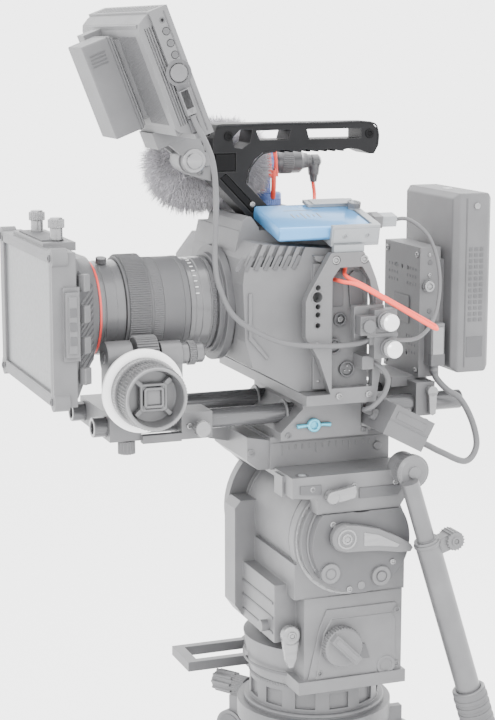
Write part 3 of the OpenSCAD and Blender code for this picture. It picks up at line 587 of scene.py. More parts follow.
p = Piece("follow_focus_details", "rig", "plate_alloy", "bright")
for x in (14, 40):
    for z in (13, 32):
        p.screw((x, -64, z), OUT, 1.9, 1)
for x in (70, 82):
    p.screw((x, -45, -1), OUT, 2.4, 1.4)
p.rod((76, -45, -1), OUT, 3.4, 7, 24)
p.gear((76, -52, -1), OUT, 5.6, 6.2, 8, 22)
p.block((47, 60), (-56, -54), (16, 22))
p.rod((39, -64, 36), (0, -1, 0.2), 2.6, 4, 24)
p.done(bevel=0.25)

p = Piece("follow_clamp_cap", "follow_clamp", "dark_plastic", "plastic")
p.rod((24, -36, -12), Z, 3, 4, 24)
p.gear((24, -36, -20), Z, 5.7, 6.5, 9.5, 16, hollow=2)
p.done("follow_clamp_knob", bevel=0)

# ---------- rods ----------
p = Piece("rod_ends", "rig", "rod_finish", "bright")
for y in (-30, 30):
    for x, d in ((0, (-1, 0, 0)), (300, X)):
        p.ring((x - d[0] * 0.2, y, 0), d, 5.1, 7.4, 0.8, 48)
p.done(bevel=0)

# ---------- camera body ----------
p = Piece("camera_trim", "rig", "camera_shell", "shell_dark")
for i in range(7):
    x = 102 + 7.4 * i
    p.block((x, x + 3), (-63.2, -61.5), (114, 125), turn=(28, "Y", (x + 1.5, -62, 120)))
p.ring((97, 0, 84), X, 34.5, 38, 5, 96)
p.ring((101, 0, 84), X, 36, 44, 6, 96)
for x, z, r in ((176, 56, 6.2), (187, 38, 6.2), (181, 76, 5.2)):
    p.ring((x, -66, z), OUT, r - 1.6, r, 2.2, 40)
    p.rod((x, -65.5, z), OUT, r - 1.8, 1.0, 32)
p.slab([(171, 86), (183, 86), (183, 112), (171, 112)], (-67.6, -65.8))
p.slab([(189, 84), (199, 84), (199, 110), (191, 112), (187, 108)], (-68.2, -65.8))
p.done(bevel=0.5)

p = Piece("camera_port_pins", "rig", "camera_shell", "bright")
for x, z in ((176, 56), (187, 38)):
    for k in range(3):
        a = math.radians(90 + 120 * k)
        p.rod((x + 2.2 * math.cos(a), -66.3, z + 2.2 * math.sin(a)), OUT, 0.8, 1.6, 12)
for x, z in ((174, 108), (181, 90), (196, 88), (193, 106), (164, 30), (165, 114)):
    p.screw((x, -66.2 if x > 166 else -66, z), OUT, 1.3, 0.9)
p.rod((181, -66, 76), OUT, 2.2, 2.4, 20)
p.done(bevel=0.1)

p = Piece("camera_shell_panels", "rig", "camera_shell", "shell")
p.slab([(162, 120), (160, 124), (200, 122), (202, 116), (202, 108)], (-66.8, -60))
for x in (150, 156):
    p.block((x, x + 3), (-20, 20), (140, 142.2))
p.slab([(110, 64), (112, 62), (124, 48), (126, 50), (113, 66), (113, 98), (110, 98)], (-63.6, -61.8))
p.done(bevel=0.6)

# ---------- cage ----------
p = Piece("cage_screws", "rig", "plate_alloy", "bright")
for x in (173, 195.6):
    p.screw((x, -76.2, 121.5), OUT, 3.2, 1.6)
for x, z in ((176, 20), (200, 20)):
    p.screw((x, -78, z), OUT, 2.6, 1.4)
p.screw((158, -78, 60), OUT, 1.8, 1)
p.done(bevel=0.15)

p = Piece("cage_trim", "rig", "plate_alloy", "plate")
for z in (74, 82, 88, 102):
    p.ring((158.5, -77.9, z), OUT, 2.0, 2.9, 0.5, 24, 0.15)
p.ring((158, -77.9, 95), OUT, 3.9, 5, 0.6, 32, 0.2)
p.slab([(204, 60), (210, 58), (210, 92), (204, 96)], (-80, -78))
p.done(bevel=0.2)

# ---------- cable clamp ----------
p = Piece("cable_clamp_knobs", "rig", "bright_metal", "silver")
for x, z in ((204, 78), (207, 58)):
    p.rod((x, -90, z), OUT, 2.9, 11, 24)
    p.rod((x, -99.8, z), OUT, 4.6, 2, 32)
    p.gear((x, -101.6, z), OUT, 6.0, 6.5, 6.4, 30)
    p.lathe((x, -108, z), OUT, [(0, 6.2), (1.2, 5.2), (2.0, 2.8), (2.0, 0)], 32)
p.done("cable_clamp_screws", bevel=0.15)

p = Piece("cable_clamp_body", "rig", "clamp_black", "clamp")
p.block((196, 214), (-96, -86.2), (50, 86))
p.block((184, 196.5), (-98, -88), (68, 82))
p.block((193, 196.2), (-94, -88), (60, 70.5))
for x, z in ((204, 78), (207, 58)):
    p.ring((x, -95.8, z), OUT, 3.2, 7.2, 4, 40)
p.gear((190, -97.5, 75), OUT, 4.6, 5.2, 4, 24)
p.block((190, 214.4), (-97, -95), (66, 69))
p.done("cable_clamp", bevel=0.8)

# ---------- top handle ----------
p = Piece("handle_fittings", "rig", "handle_black", "bright")
for x in (150, 190):
    p.ring((x, 0, 218.3), Z, 3.25, 4.4, 0.6, 32, 0.15)
p.screw((132, -12.4, 158), OUT, 2.2, 1.2)
p.done(bevel=0.15)

p = Piece("handle_insets", "rig", "handle_black", "handle_in")
for x, z in ((113, 209.5), (228, 209.5)):
    p.screw((x, -12.3, z), OUT, 3.6, 1.2)
p.slab([(103, 184), (103, 196), (118, 196), (118, 184)], (-12.6, -10))
p.slab([(107, 178.4), (111, 181), (135.6, 155.4), (132, 152.4)], (-12.2, -10))
for k in range(9):
    p.block((150 + 7 * k, 152 + 7 * k), (-10, 10), (196.3, 198.4))
p.done(bevel=0.4)

p = Piece("handle_edge_strips", "rig", "handle_black", "handle")
top_edge = [(103.5, 217), (140, 218), (190, 218), (228, 218), (235, 211), (235, 201)]
inner_edge = [(128, 174), (130, 184), (135, 191), (141, 196), (150, 197.4)]
p.tube([(x, -12.6, z) for x, z in top_edge], 0.7, 8, 4)
p.tube([(x, -12.6, z) for x, z in inner_edge], 0.6, 8, 4)
p.done(bevel=0)

# A coral strap loops over the microphone's ring.
p = Piece("mic_strap", "rig", "cable_coral", "coral")
for x in (167.2, 172.4):
    p.tube([(x, 41, 174), (x - 0.5, 42.5, 190), (x, 48, 199), (x, 55, 200.5), (x, 62, 197), (x, 66.5, 188),
            (x, 66, 176)], 1.7, 10, 5)
p.tube([(169.8, 41, 179), (170, 40.5, 172), (170, 41, 164), (171, 45, 157)], 2.0, 10, 5)
p.tube([(169.8, 66.5, 179), (170, 67.5, 172), (170, 66, 164), (171, 62, 157)], 2.0, 10, 5)
p.done(bevel=0)

# ---------- microphone ----------
p = Piece("mic_barrel", "rig", "mic_metal", "mic")
p.lathe((98, 54, 185), X, [(0, 0), (0, 9), (1, 9.5), (68, 9.5), (68.4, 9.1), (69.6, 9.1), (70, 9.6), (76, 9.6),
        (76.3, 9.2), (78, 9.2), (78.3, 9.6), (98, 9.6), (99, 8.8), (101, 7), (103, 6.2), (105, 6), (105, 5), (108, 5),
        (108, 0)], 48)
p.gear((180, 54, 185), X, 9.5, 9.9, 9, 40, hollow=8)
p.rod((205.5, 54, 184.5), X, 5.4, 9.5, 32, 2.5)
p.lathe((209.5, 54, 186), (0, 0, -1), [(0, 0), (0, 5), (4, 5.2), (8, 4.6), (12, 4.2), (13, 3.4), (18, 2.6),
        (18, 0)], 32)
p.done("mic_body", bevel=0)

p = Piece("mic_foot", "rig", "mount_blue", "blue")
p.gear((171, 54, 151), Z, 9.6, 10, 4.5, 36)
p.lathe((171, 54, 155.5), Z, [(0, 0), (0, 10), (4.5, 10), (5.5, 9), (5.5, 0)], 40)
p.ring((166.5, 54, 185), X, 9.7, 13, 7, 48, 0.6)
p.block((168.4, 171.6), (51, 57), (160, 173))
p.done("mic_mount", bevel=0.4)

p = Piece("mic_foot_base", "rig", "clamp_black", "clamp")
p.lathe((171, 54, 147), Z, [(0, 0), (0, 11.6), (0.6, 12), (3.4, 12), (4, 11.4), (4, 0)], 40)
p.done(bevel=0)

# The long fur is bent, tapered strands on a soft core, which is a rounded bar along the microphone.
CORE_RADIUS, CORE_FRONT, CORE_SPAN = 25.0, 104.0, 30.0
STRANDS = 13000
points, faces = [], []
for k in range(STRANDS):
    random.random()  # one draw that nothing uses, kept so that every strand stays as it is
    u = random.uniform(-CORE_RADIUS, CORE_SPAN + CORE_RADIUS)
    a = random.uniform(0, 2 * math.pi)
    along = min(max(u, 0), CORE_SPAN)
    c = (u - along) / CORE_RADIUS
    r = math.sqrt(max(1 - c * c, 0))
    n = Vector((c, r * math.cos(a), r * math.sin(a)))
    base = Vector((CORE_FRONT + along, 54, 185)) + CORE_RADIUS * n
    lean = Vector((random.gauss(0, 0.34), random.gauss(0, 0.34), random.gauss(0, 0.34) - 0.12))
    grow = (n + lean).normalized()
    length = random.uniform(10.5, 15.5)
    side = grow.cross(Vector((0.3, 0.5, 0.8))).normalized()
    thick = random.uniform(0.28, 0.46)
    bend = Vector((random.gauss(0, 1.6), random.gauss(0, 1.6), random.gauss(-1.8, 1.4)))
    # Strands that would reach the handle or stand too far out are left out.
    if (base + grow * length).y < 17 or (base - Vector((134, 54, 185))).length > 60:
        continue
    other = grow.cross(side)
    start = len(points)
    for step, width in ((0, 1.0), (0.4, 0.85), (0.75, 0.5)):
        mid = base + grow * length * step + bend * step * step
        points += [mid + thick * width * (x * side + y * other) for x, y in around(3)]
    points.append(base + grow * length + bend)
    for q in range(3):
        n2 = (q + 1) % 3
        faces += [(start + row + q, start + row + n2, start + row + 3 + n2, start + row + 3 + q) for row in (0, 3)]
        faces.append((start + 6 + q, start + 6 + n2, start + 9))
fur = bpy.data.meshes.new("mic_fur")
fur.from_pydata([RIG @ v for v in points], [], faces)
fur.polygons.foreach_set("use_smooth", [True] * len(fur.polygons))
fur.materials.append(M["fur"])
fur_obj = placed("mic_fur", fur)
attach(fur_obj, "rig")
p = Piece("mic_fur_core", "rig", "fur", "fur")
front = [(26 - 26 * math.cos(math.radians(b)), 26 * math.sin(math.radians(b))) for b in range(0, 91, 9)]
back = [(56 + 26 * math.sin(math.radians(b)), 26 * math.cos(math.radians(b))) for b in range(0, 82, 9)]
p.lathe((78, 54, 185), X, front + back + [(82, 0)], 40)
p.done("mic_windscreen", bevel=0)

# ---------- solid-state drive ----------
p = Piece("drive_case", "rig", "ssd_blue", "ssd", DRIVE)
outline = []
for cy, cz, a0 in ((53, 7.3, 0), (4, 7.3, 90), (4, 3.2, 180), (53, 3.2, 270)):
    for k in range(7):
        a = math.radians(a0 + 15 * k)
        outline.append((cy + 3.2 * math.cos(a), cz + 3.2 * math.sin(a)))
n = len(outline)
pts, faces = [], []
for x, inset in ((0, 1.6), (0.5, 0.5), (1.8, 0), (72.2, 0), (73.5, 0.5), (74, 1.6)):
    for y, z in outline:
        k = 1 - inset / 28.5
        pts.append((x, 28.5 + (y - 28.5) * k, 5.25 + (z - 5.25) * (1 - inset / 5.25)))
faces = [(i * n + j, i * n + (j + 1) % n, (i + 1) * n + (j + 1) % n, (i + 1) * n + j)
         for i in range(5) for j in range(n)]
p.add(pts, faces + [tuple(range(n - 1, -1, -1)), tuple(5 * n + j for j in range(n))])
p.done("ssd", bevel=0)

p = Piece("drive_mark", "rig", "ssd_blue", "ssd_light", DRIVE)
for k, h in enumerate((9, 5, 12, 7, 4, 10)):
    p.block((20 + 4.2 * k, 21.2 + 4.2 * k), (28 - h / 2, 28 + h / 2), (10.3, 10.62))
p.block((18, 46), (40, 41), (10.3, 10.6))
p.done(bevel=0)

p = Piece("drive_plug", "rig", "clamp_black", "clamp", DRIVE)
p.block((84.5, 92), (22, 34), (0.4, 9.6))
p.block((92, 104), (23.5, 32.5), (1.6, 8.4))
p.gear((80.2, 28, 5), X, 5.4, 6, 4.4, 24)
p.rod((75, 40, 10), Z, 4.5, 5, 32)
p.gear((75, 40, 12), Z, 4.6, 5.1, 4, 22)
p.done(bevel=0.8)

p = Piece("drive_clamp_pads", "rig", "plate_alloy", "ssd_light", DRIVE)
p.block((41, 77), (-3.6, -2.6), (-1, 10))
p.screw((50, -3.4, 5), (0, -1, 0), 2.2, 1)
p.screw((68, -3.4, 5), (0, -1, 0), 2.2, 1)
p.block((44, 74), (45, 57), (12.8, 13.6))
p.done(bevel=0.4)

# ---------- monitor ----------
p = Piece("monitor_screen", "monitor", "monitor_shell", "screen", MONITOR)
p.block((-1.0, -0.6), (-69, 69), (7.2, 86.8))
p.done(bevel=0)

p = Piece("monitor_back_cover", "monitor", "monitor_shell", "monitor", MONITOR)
p.slab([(-13.8, 4), (-13.8, 92.6), (-17, 91.6), (-22.4, 88.4), (-24.3, 84), (-24.3, 12), (-22.4, 8), (-17, 5)],
       (-73.6, 73.6))
for x in (-15.4, -17.2, -19, -20.8):
    p.block((x, x + 0.8), (-74.3, 74.3), (12, 84))
p.done(bevel=0.5)

p = Piece("monitor_trim", "monitor", "monitor_shell", "monitor_dark", MONITOR)
for first, top in ((-60, 80), (20, 64)):
    for k in range(13):
        y = first + 3.2 * k
        p.block((-24.7, -23.8), (y, y + 1.6), (14, top))
for k in range(14):
    p.block((-12, -3), (-66 + 9.6 * k, -62 + 9.6 * k), (93.6, 94.3))
p.ring((-7, -76.6, 85.3), OUT, 1.2, 2.2, 0.6, 20, 0.1)
# The dark ring round the dial is painted shade, standing in for the recess that the dial sits in.
p.ring((-9, -76.6, 47.5), OUT, 6.9, 9.4, 0.7, 40, 0.2)
p.slab([(-15, 20), (-14.6, 40), (-12, 41), (-5, 38), (-4.6, 36), (-7.6, 36.4), (-7.6, 16), (-12, 15.4)],
       (-77.5, -76.8))
p.slab([(-14.6, 5), (-8.4, 5), (-8.4, 14.4), (-14.6, 14.4)], (-76.6, -74.5))
p.block((-4.2, -3.4), (-77.4, -76.8), (3, 91))
p.done(bevel=0.25)

p = Piece("monitor_plug", "monitor", "monitor_shell", "clamp", MONITOR)
p.block((-14.8, -8.2), (-82, -77), (22, 36))
p.tube([(-11.5, -79.5, 22.2), (-11.5, -79.5, 20), (-11.5, -79.5, 18.2)], lambda s: 3.2 - 0.9 * s, 20, 3)
p.done(bevel=0.8)

for i, up in enumerate((60, 68.6, 77.3), 1):
    p = Piece("button_cap_%d" % i, "button_%d" % i, "monitor_shell", "monitor_dark", MONITOR)
    p.lathe((-7, -74.2, up), OUT, [(0, 0), (0, 2.5), (3.1, 2.5), (3.5, 2.1), (3.3, 1.2), (3.1, 0)], 32)
    p.done("monitor_button_%d" % i, bevel=0)
p = Piece("dial_cap", "dial", "dark_plastic", "plastic", MONITOR)
p.gear((-9, -72.4, 47.5), OUT, 6.1, 6.5, 5.2, 40)
p.lathe((-9, -77.5, 47.5), OUT, [(0, 6.2), (0.9, 5.6), (0.5, 3.5), (0.4, 0)], 40)
p.done("monitor_dial", bevel=0)

p = Piece("monitor_cell_case", "monitor_battery", "monitor_battery_shell", "cell", MONITOR)
p.block((-53, -30.2), (-19, 19), (12.5, 83))
p.block((-30.4, -28.4), (-18.4, 18.4), (14, 81.5))
p.done("monitor_battery", bevel=1.6)
p = Piece("monitor_cell_seam", "monitor_battery", "monitor_battery_shell", "monitor_dark", MONITOR)
for z in (12.3, 82.8):
    p.block((-33.2, -32.6), (-19.1, 19.1), (z, z + 0.4))
for y in (-19.15, 18.85):
    p.block((-33.2, -32.6), (y, y + 0.3), (13, 82.5))
for k in range(4):
    p.block((-50, -38), (-19.3, -18.9), (66 + 2.6 * k, 67.2 + 2.6 * k))
p.done(bevel=0)

p = Piece("monitor_pivot_caps", "monitor", "monitor_shell", "bright")
for y, d in ((-15, OUT), (15, Y)):
    p.lathe((85, y, 192), d, [(0, 9), (0.6, 9), (1, 8.4), (1, 6), (2.6, 6), (3, 5.4), (3, 0)], 40)
p.done(bevel=0)
p = Piece("monitor_mount_knob", "rig", "bar_tube", "bar")
p.gear((96, -8.6, 193), OUT, 5.2, 6, 5, 24)
p.screw((92, -8.6, 183), OUT, 2.4, 1.2)
p.block((84, 97), (-8.9, 8.9), (197.5, 200.5))
p.done(bevel=0.3)

# ---------- batteries ----------
p = Piece("battery_case", "v_battery", "battery_shell", "pack")
p.block((281.4, 286.4), (-28, 28), (30, 112))
layers = ((286, 41, 28, 160), (291, 45, 24, 164), (315, 45, 24, 164), (319, 41, 28, 160))
p.add([(x, y, z) for x, w, low, top in layers for y, z in ((-w, low), (w, low), (w, top), (-w, top))],
      [(0, 3, 2, 1), (12, 13, 14, 15)]
      + [(a + k, a + (k + 1) % 4, a + 4 + (k + 1) % 4, a + 4 + k) for a in (0, 4, 8) for k in range(4)])
p.done("v_battery", bevel=1.2)

p = Piece("battery_trim", "v_battery", "battery_shell", "pack_dark")
for side in (-45.3, 44.9):
    for row in range(13):
        for col in range(3):
            x, z = 299 + 4.6 * col, 64 + 4.6 * row
            p.block((x, x + 3), (side, side + 0.4), (z, z + 2.8))
    p.block((296, 297), (side, side + 0.4), (28, 160))
    p.slab([(298, 36), (312, 36), (312, 52), (298, 52)], (side, side + 0.4))
for k in range(5):
    p.block((318.8, 319.4), (12 + 4 * k, 14.4 + 4 * k), (40, 46))
p.block((290.4, 291.2), (-44, 44), (24.4, 163.6))
p.done(bevel=0)

p = Piece("battery_catch", "v_battery", "battery_shell", "bright")
p.rod((302, 0, 163.6), Z, 4, 0.8, 32)
p.rod((305, -45.1, 154), OUT, 2.6, 1.2, 24)
p.done(bevel=0)

p = Piece("battery_plate_trim", "rig", "battery_shell", "pack_dark")
for z0 in (38, 92):
    for k in range(4):
        for row in range(3):
            for s in (-1, 1):
                p.rod((263.7, s * (24 - 5 * k), z0 + 6 * row), (-1, 0, 0), 1.5, 0.4, 12)
p.block((262.8, 263.7), (-14, 14), (60, 82))
for z in (44, 58, 72, 110):
    p.rod((272, -31.9, z), OUT, 2, 0.6, 20)
p.done(bevel=0.15)

p = Piece("battery_plate_screws", "rig", "bright_metal", "bright")
for y in (-27, 27):
    for z in (25, 116):
        p.screw((263.6, y, z), (-1, 0, 0), 2.4, 1.2)
p.screw((270, -34.9, 92), OUT, 4.4, 2)
for z in (100, 116):
    p.screw((272, -31.9, z), OUT, 2, 1)
p.block((269, 278), (-45.6, -44.8), (34, 61))
p.done(bevel=0.15)

p = Piece("battery_plug", "rig", "battery_shell", "pack_dark")
p.block((267.6, 279.4), (-45.8, -40), (30.6, 40))
p.tube([(273.5, -38.5, 31), (273.5, -38.5, 26), (274, -39.5, 23)], lambda s: 4.0 - 1.2 * s, 20, 4)
p.done(bevel=0.7)

p = Piece("rear_lever_cap", "rear_clamp_lever", "bright_metal", "bright")
p.rod((270, -34, 10.5), OUT, 2.5, 7, 24)
p.rod((270, -40.4, 10.5), OUT, 4.5, 5.4, 32)
p.slab([(266.5, 10), (273.5, 10), (272.6, -7), (270, -8.4), (267.4, -7)], (-45.8, -41.2))
p.done("rear_clamp_lever", bevel=0.6)

# ---------- power box ----------
p = Piece("power_box_trim", "rig", "power_box_shell", "power", BOX)
for x, z, way, reach in ((-0.2, -14, -1, 4.2), (36, -17, 1, 5.2)):
    for k in range(3):
        p.ring((x + way * reach * k / 3, 24, z), (way, 0, 0), 2.3, 4.4 - 0.5 * k, 1.2, 28, 0.2)
for x in (5, 31):
    for y in (6, 40):
        p.screw((x, y, -0.1), Z, 1.6, 0.6)
p.block((0.6, 35.4), (-0.4, 0.2), (-12.3, -11.7))
p.block((4, 30), (-0.5, 0.1), (-9.6, -4))
p.done(bevel=0.3)

# ---------- baseplate and sliding plate ----------
p = Piece("baseplate_trim", "rig", "plate_alloy", "plate")
for x in (146, 208):
    p.screw((x, -52, -13), OUT, 2.2, 1.2)
for x, y in ((160, -44), (160, 44), (204, -44), (204, 44)):
    p.screw((x, y, 10), Z, 2.4, 1.2)
for y in (-30, 30):
    for x, d in ((151.5, (-1, 0, 0)), (211.5, X)):
        p.ring((x, y, 0), d, 7.6, 10.5, 1.6, 40, 0.3)
p.done(bevel=0.25)

p = Piece("sliding_plate_trim", "rig", "plate_alloy", "plate")
for k in range(15):
    p.block((146 + 5.6 * k, 147 + 5.6 * k), (-38.4, -37.8), (-27.5 if k % 5 else -31, -24))
p.screw((122, -36, -28), OUT, 3.0, 1.2)
p.rod((226, -38, -30), OUT, 3.4, 1.6, 24)
p.block((137, 236), (-38.3, -37.9), (-22, -21.2))
p.done(bevel=0.15)

p = Piece("baseplate_lever_bar", "baseplate_lever", "lever_blue", "lever")
p.rod((166, -41, -6), OUT, 3, 11.5, 24)
p.ring((166, -52.5, -6), OUT, 2.9, 5.2, 3.6, 40, 0.5)
p.rod((166, -52.5, -6), OUT, 2.95, 1.2, 24)
for s in (-1, 1):
    p.tube([(166 + 4.4 * s, -54.2, -6), (166 + 9 * s, -54.2, -6.1), (166 + 13.5 * s, -54.2, -6.4)],
           lambda t: 1.25 + 0.5 * t, 14, 4)
p.done("baseplate_lever", bevel=0)

# ---------- fluid head ----------
DRUM_X, DRUM_Z = 194, -94


def drum_at(y):
    return (DRUM_X, y, DRUM_Z)


p = Piece("head_ring", "pan", "head_paint", "bright")
p.ring(drum_at(-61.2), OUT, 41, 45.6, 0.5, 96, 0.2)
for k in range(40):
    a = math.radians(9 * k)
    p.rod((DRUM_X + 44.2 * math.cos(a), -61.4, DRUM_Z + 44.2 * math.sin(a)), OUT, 0.5, 0.5, 8)
p.done(bevel=0)

p = Piece("head_panels", "pan", "head_paint", "head")
for y in (-58, -50, 40, 46):
    p.ring(drum_at(y), Y, 44, 46.6, 1.4, 96, 0.3)
p.slab([(158, -208), (168, -164), (174, -150), (232, -150), (237, -158), (237, -208)], (-63.2, -61))
p.slab([(165, -205), (172, -168), (178, -158), (229, -158), (232, -164), (232, -205)], (-64.0, -62.8))
for x, z in ((168, -200), (233, -200), (233, -156)):
    p.screw((x, -63.2, z), OUT, 2.6, 1.4)
p.ring((224, -61.6, -200), OUT, 5, 8, 3.4, 40, 0.5)
p.done(bevel=0.5)

p = Piece("head_front_ribs", "pan", "head_paint", "head_dark")
for k in range(3):
    p.block((137.4, 138.2), (-42, 45), (-172 + 12 * k, -170 + 12 * k))
p.ring((190, 0, -207.5), Z, 56.6, 57.6, 2.4, 96, 0.4)
p.slab([(184, -192), (210, -192), (206, -180), (190, -180)], (-65.0, -63.6))
p.done(bevel=0.3)

p = Piece("drag_knob", "pan_drag", "dark_plastic", "plastic")
p.rod((184, -58.6, -178), OUT, 6, 8, 32)
p.gear((184, -66.4, -178), OUT, 15, 16, 7.4, 40)
p.lathe((184, -73.8, -178), OUT, [(0, 15.2), (1.2, 14), (1.2, 0)], 48)
p.block((169.6, 198.4), (-80.5, -74), (-181.6, -174.4), turn=(45, "Y", (184, 0, -178)))
p.block((172, 196), (-81.6, -80), (-180, -176), turn=(45, "Y", (184, 0, -178)))
p.done("pan_drag_knob", bevel=0.8)

p = Piece("pan_lock_tail", "pan_lock", "bright_metal", "bright")
p.rod((148, -36.2, -170), OUT, 4, 14, 24)
p.rod((148, -49.8, -170), OUT, 7.5, 6.6, 40, 0.8)
p.slab([(141, -171), (155, -171), (152.4, -190), (149.6, -196), (146.4, -196), (143.8, -190)], (-55.4, -50.4))
p.screw((148, -56.4, -170), OUT, 3.6, 1.2)
p.done("pan_lock_lever", bevel=0.9)

p = Piece("cap_rim", "tilt", "head_paint", "head")
p.ring((196, -66, -94), OUT, 39.0, 40.8, 3, 96, 0.4)
for x, z in ((170, -116), (212, -122)):
    p.ring((x, -79.4, z), OUT, 4.6, 7.6, 0.7, 40, 0.2)
    p.rod((x, -79.6, z), OUT, 3.6, 0.8, 24)
p.rod((196, -77.8, -128), OUT, 3.2, 0.8, 24)
p.done(bevel=0.2)

p = Piece("cap_screws", "tilt", "bright_metal", "bright")
for x, z in ((222, -112), (172, -78), (186, -130)):
    p.screw((x, -78, z), OUT, 2.4, 1.2)
for x in (156, 190, 224):
    p.screw((x, -76, -50), OUT, 2.2, 1.2)
p.done(bevel=0.12)

p = Piece("cradle_trim", "tilt", "head_paint", "head_dark")
p.slab([(146, -46.8), (146, -53), (163, -54.5), (163, -47)], (-77, -75.8))
p.slab([(194, -60), (226, -60), (232, -52), (194, -52)], (-77, -75.8))
p.ring((150, -70, -40.6), Z, 3.4, 5.4, 0.9, 32, 0.2)
for k in range(28):
    a = math.radians(200 + 5 * k)
    p.rod((DRUM_X + 56 * math.cos(a), 58, DRUM_Z + 56 * math.sin(a)), Y, 0.7, 0.6, 8)
p.done(bevel=0.2)

p = Piece("bubble_level", "tilt", "filter_glass", "ssd_light")
p.lathe((150, -70, -40.4), Z, [(0, 0), (0, 3.3), (0.9, 2.8), (1.2, 0)], 28)
p.done(bevel=0)

p = Piece("tilt_lever", "tilt_lock", "head_paint", "head")
p.rod((180, -70.6, -88), OUT, 5, 9, 32)
p.lathe((180, -79, -88), OUT, [(0, 0), (0, 11), (5.5, 11), (7.6, 9.6), (8, 6), (8, 0)], 48)
p.slab([(180, -77.4), (190, -78.6), (206, -82.6), (222, -90), (233, -97), (235, -100), (233, -103), (224, -102.6),
        (206, -99.6), (190, -98.6), (180, -98.4)], (-86.4, -80.4))
p.done("tilt_lock_lever", bevel=1.2)
p = Piece("tilt_lever_cap", "tilt_lock", "head_paint", "bright")
p.ring((180, -86.8, -88), OUT, 6.2, 7.8, 0.6, 40, 0.15)
p.screw((180, -86.8, -88), OUT, 4.4, 1.0)
p.slab([(194, -84), (206, -87), (224, -96.4), (222, -98.4), (206, -95.6), (194, -94.6)], (-86.9, -86.2))
p.done(bevel=0.2)

p = Piece("plate_lever_tail", "plate_lock", "bright_metal", "bright")
p.rod((170, -71, -56), OUT, 3, 6, 24)
p.rod((170, -76.4, -56), OUT, 5, 8.2, 32, 0.7)
p.slab([(169, -51.2), (180, -49.6), (188, -48), (189, -53), (187.6, -57.4), (180, -59), (169, -60.4)],
       (-84, -79.4))
p.done("plate_lock_lever", bevel=0.9)

# ---------- pan bar ----------
p = Piece("pan_bar_rosette", "pan_bar", "bar_tube", "bar", BAR)
p.gear((0, 1.4, 0), Y, 12.2, 13.2, 5, 36)
p.lathe((0, 1.4, 0), OUT, [(0, 0), (0, 12), (1.4, 10.6), (1.4, 5), (3.2, 4.6), (3.2, 0)], 40)
p.ring((-7, -4, -57), Z, 9.2, 10.4, 3, 40, 0.5)
p.ring((-7, -4, -184), Z, 9.6, 12.6, 3, 40, 0.6)
p.gear((13, -12, -60), Y, 6.6, 7.4, 16, 18)
p.screw((13, -12, -60), OUT, 3.6, 1.2)
p.block((-2, 9), (-9.4, 1.4), (-65, -55))
p.done(bevel=0.4)

p = Piece("pan_bar_grip_ribs", "pan_bar", "grip_rubber", "grip", BAR)
for k in range(16):
    p.ring((-7, -4, -284 + 6.2 * k), Z, 12.6, 13.5, 3.6, 40, 0.5)
p.lathe((-7, -4, -291.5), Z, [(0, 0), (0, 11.5), (2, 13.4), (5, 13.4), (5, 12)], 40)
p.done(bevel=0)

# ---------- tripod ----------
STAND_X = 190
HINGE_OUT, HINGE_UP = 64, 372
FOOT_OUT, FOOT_UP = 212, 12
FLOOR = -650

p = Piece("base_ring_grip", "stand", "tripod_paint", "tripod")
p.gear((STAND_X, 0, -219), Z, 52, 52.8, 1.8, 120, hollow=48)
p.ring((STAND_X, 0, -241.5), Z, 52, 56.6, 2, 96, 0.5)
p.done(bevel=0)

p = Piece("bowl_trim", "stand", "tripod_paint", "head_dark")
for turn in (0, 120, 240):
    a = math.radians(turn)
    ux, uy = math.cos(a), math.sin(a)
    for side in (-1, 1):
        d = Vector((-side * uy, side * ux, 0))
        at = Vector((STAND_X + HINGE_OUT * ux, HINGE_OUT * uy, HINGE_UP + FLOOR)) + 28 * d
        p.ring(at + 1.5 * d, d, 5, 11, 1.2, 40, 0.3)
        p.screw(at + 1.6 * d, d, 5, 1.6)
p.done(bevel=0.2)

KNOB_TURN = math.radians(124)
d = (math.cos(KNOB_TURN), math.sin(KNOB_TURN), 0)


def knob_at(reach):
    return (STAND_X + reach * d[0], reach * d[1], -251)


p = Piece("clamp_knob_ribs", "bowl_clamp", "dark_plastic", "plastic")
p.rod(knob_at(56), d, 5, 13, 32)
p.gear(knob_at(66), d, 7.4, 8.2, 12, 24)
p.gear(knob_at(78), d, 7.6, 9.5, 19, 9)
p.lathe(knob_at(97), d, [(0, 7.6), (1.4, 6.6), (1.4, 0)], 40)
p.done("bowl_clamp_knob", bevel=0.3)

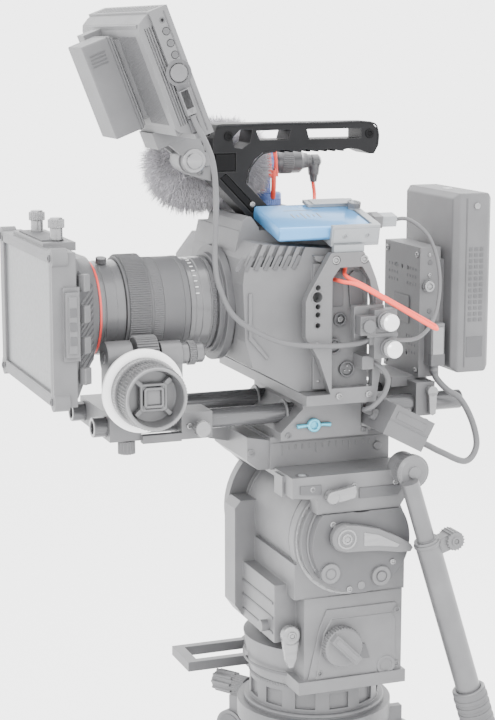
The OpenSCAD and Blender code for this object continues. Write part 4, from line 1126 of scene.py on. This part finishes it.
lean = math.atan((FOOT_OUT - HINGE_OUT) / (HINGE_UP - FOOT_UP))
length = (HINGE_UP - FOOT_UP) / math.cos(lean)
for k in (1, 2, 3):
    place = RIG @ Matrix.Translation((STAND_X, 0, FLOOR)) @ Matrix.Rotation(math.radians(120 * (k - 1)), 4, "Z")
    place = place @ Matrix.Translation((HINGE_OUT, 0, HINGE_UP)) @ Matrix.Rotation(-lean, 4, "Y")
    p = Piece("leg_collars_%d" % k, "upper_%d" % k, "leg_tube", "head_dark", place)
    for z in (-60, -0.72 * length + 4):
        for side in (-1, 1):
            p.ring((0, side * 17, z), Z, 7.4, 8.6, 8, 32, 0.6)
    p.gear((16, -10, -0.72 * length - 10), Y, 6.4, 7.2, 20, 16)
    p.ring((0, 0, -0.72 * length - 23), Z, 9.2, 12.5, 4, 40, 0.6)
    p.done(bevel=0.2)
    p = Piece("foot_tread_%d" % k, "lower_%d" % k, "leg_foot", "grip", place)
    for up in (22, 29):
        p.ring((0, 0, -length + up), Z, 9, 11.4, 3, 36, 0.5)
    p.done(bevel=0)

# ---------- floor and light ----------
floor_mesh = bpy.data.meshes.new("floor")
floor_mesh.from_pydata([(-6, -6, 0), (6, -6, 0), (6, 6, 0), (-6, 6, 0)], [], [(0, 1, 2, 3)])
floor = placed("floor", floor_mesh)
pale = bpy.data.materials.new("floor_pale")
pale.use_nodes = True
pale.node_tree.nodes["Principled BSDF"].inputs["Base Color"].default_value = (0.93, 0.93, 0.93, 1)
pale.node_tree.nodes["Principled BSDF"].inputs["Roughness"].default_value = 0.9
floor_mesh.materials.append(pale)

world = bpy.data.worlds.new("studio")
bpy.context.scene.world = world
world.use_nodes = True
world.node_tree.nodes["Background"].inputs["Color"].default_value = (1, 1, 1, 1)
world.node_tree.nodes["Background"].inputs["Strength"].default_value = 4.2


def lamp(name, place, aim, size, power):
    data = bpy.data.lights.new(name, "AREA")
    data.size = size
    data.energy = power
    obj = placed(name, data)
    obj.location = place
    obj.rotation_euler = (Vector(aim) - Vector(place)).to_track_quat("-Z", "Y").to_euler()


lamp("key", (-1.2, -1.6, 1.9), (0, 0, 0.65), 1.0, 26)
lamp("top", (0.3, 0.2, 2.2), (0, 0, 0.7), 1.2, 16)
lamp("rim", (1.5, 0.9, 1.2), (0, 0, 0.65), 0.8, 14)
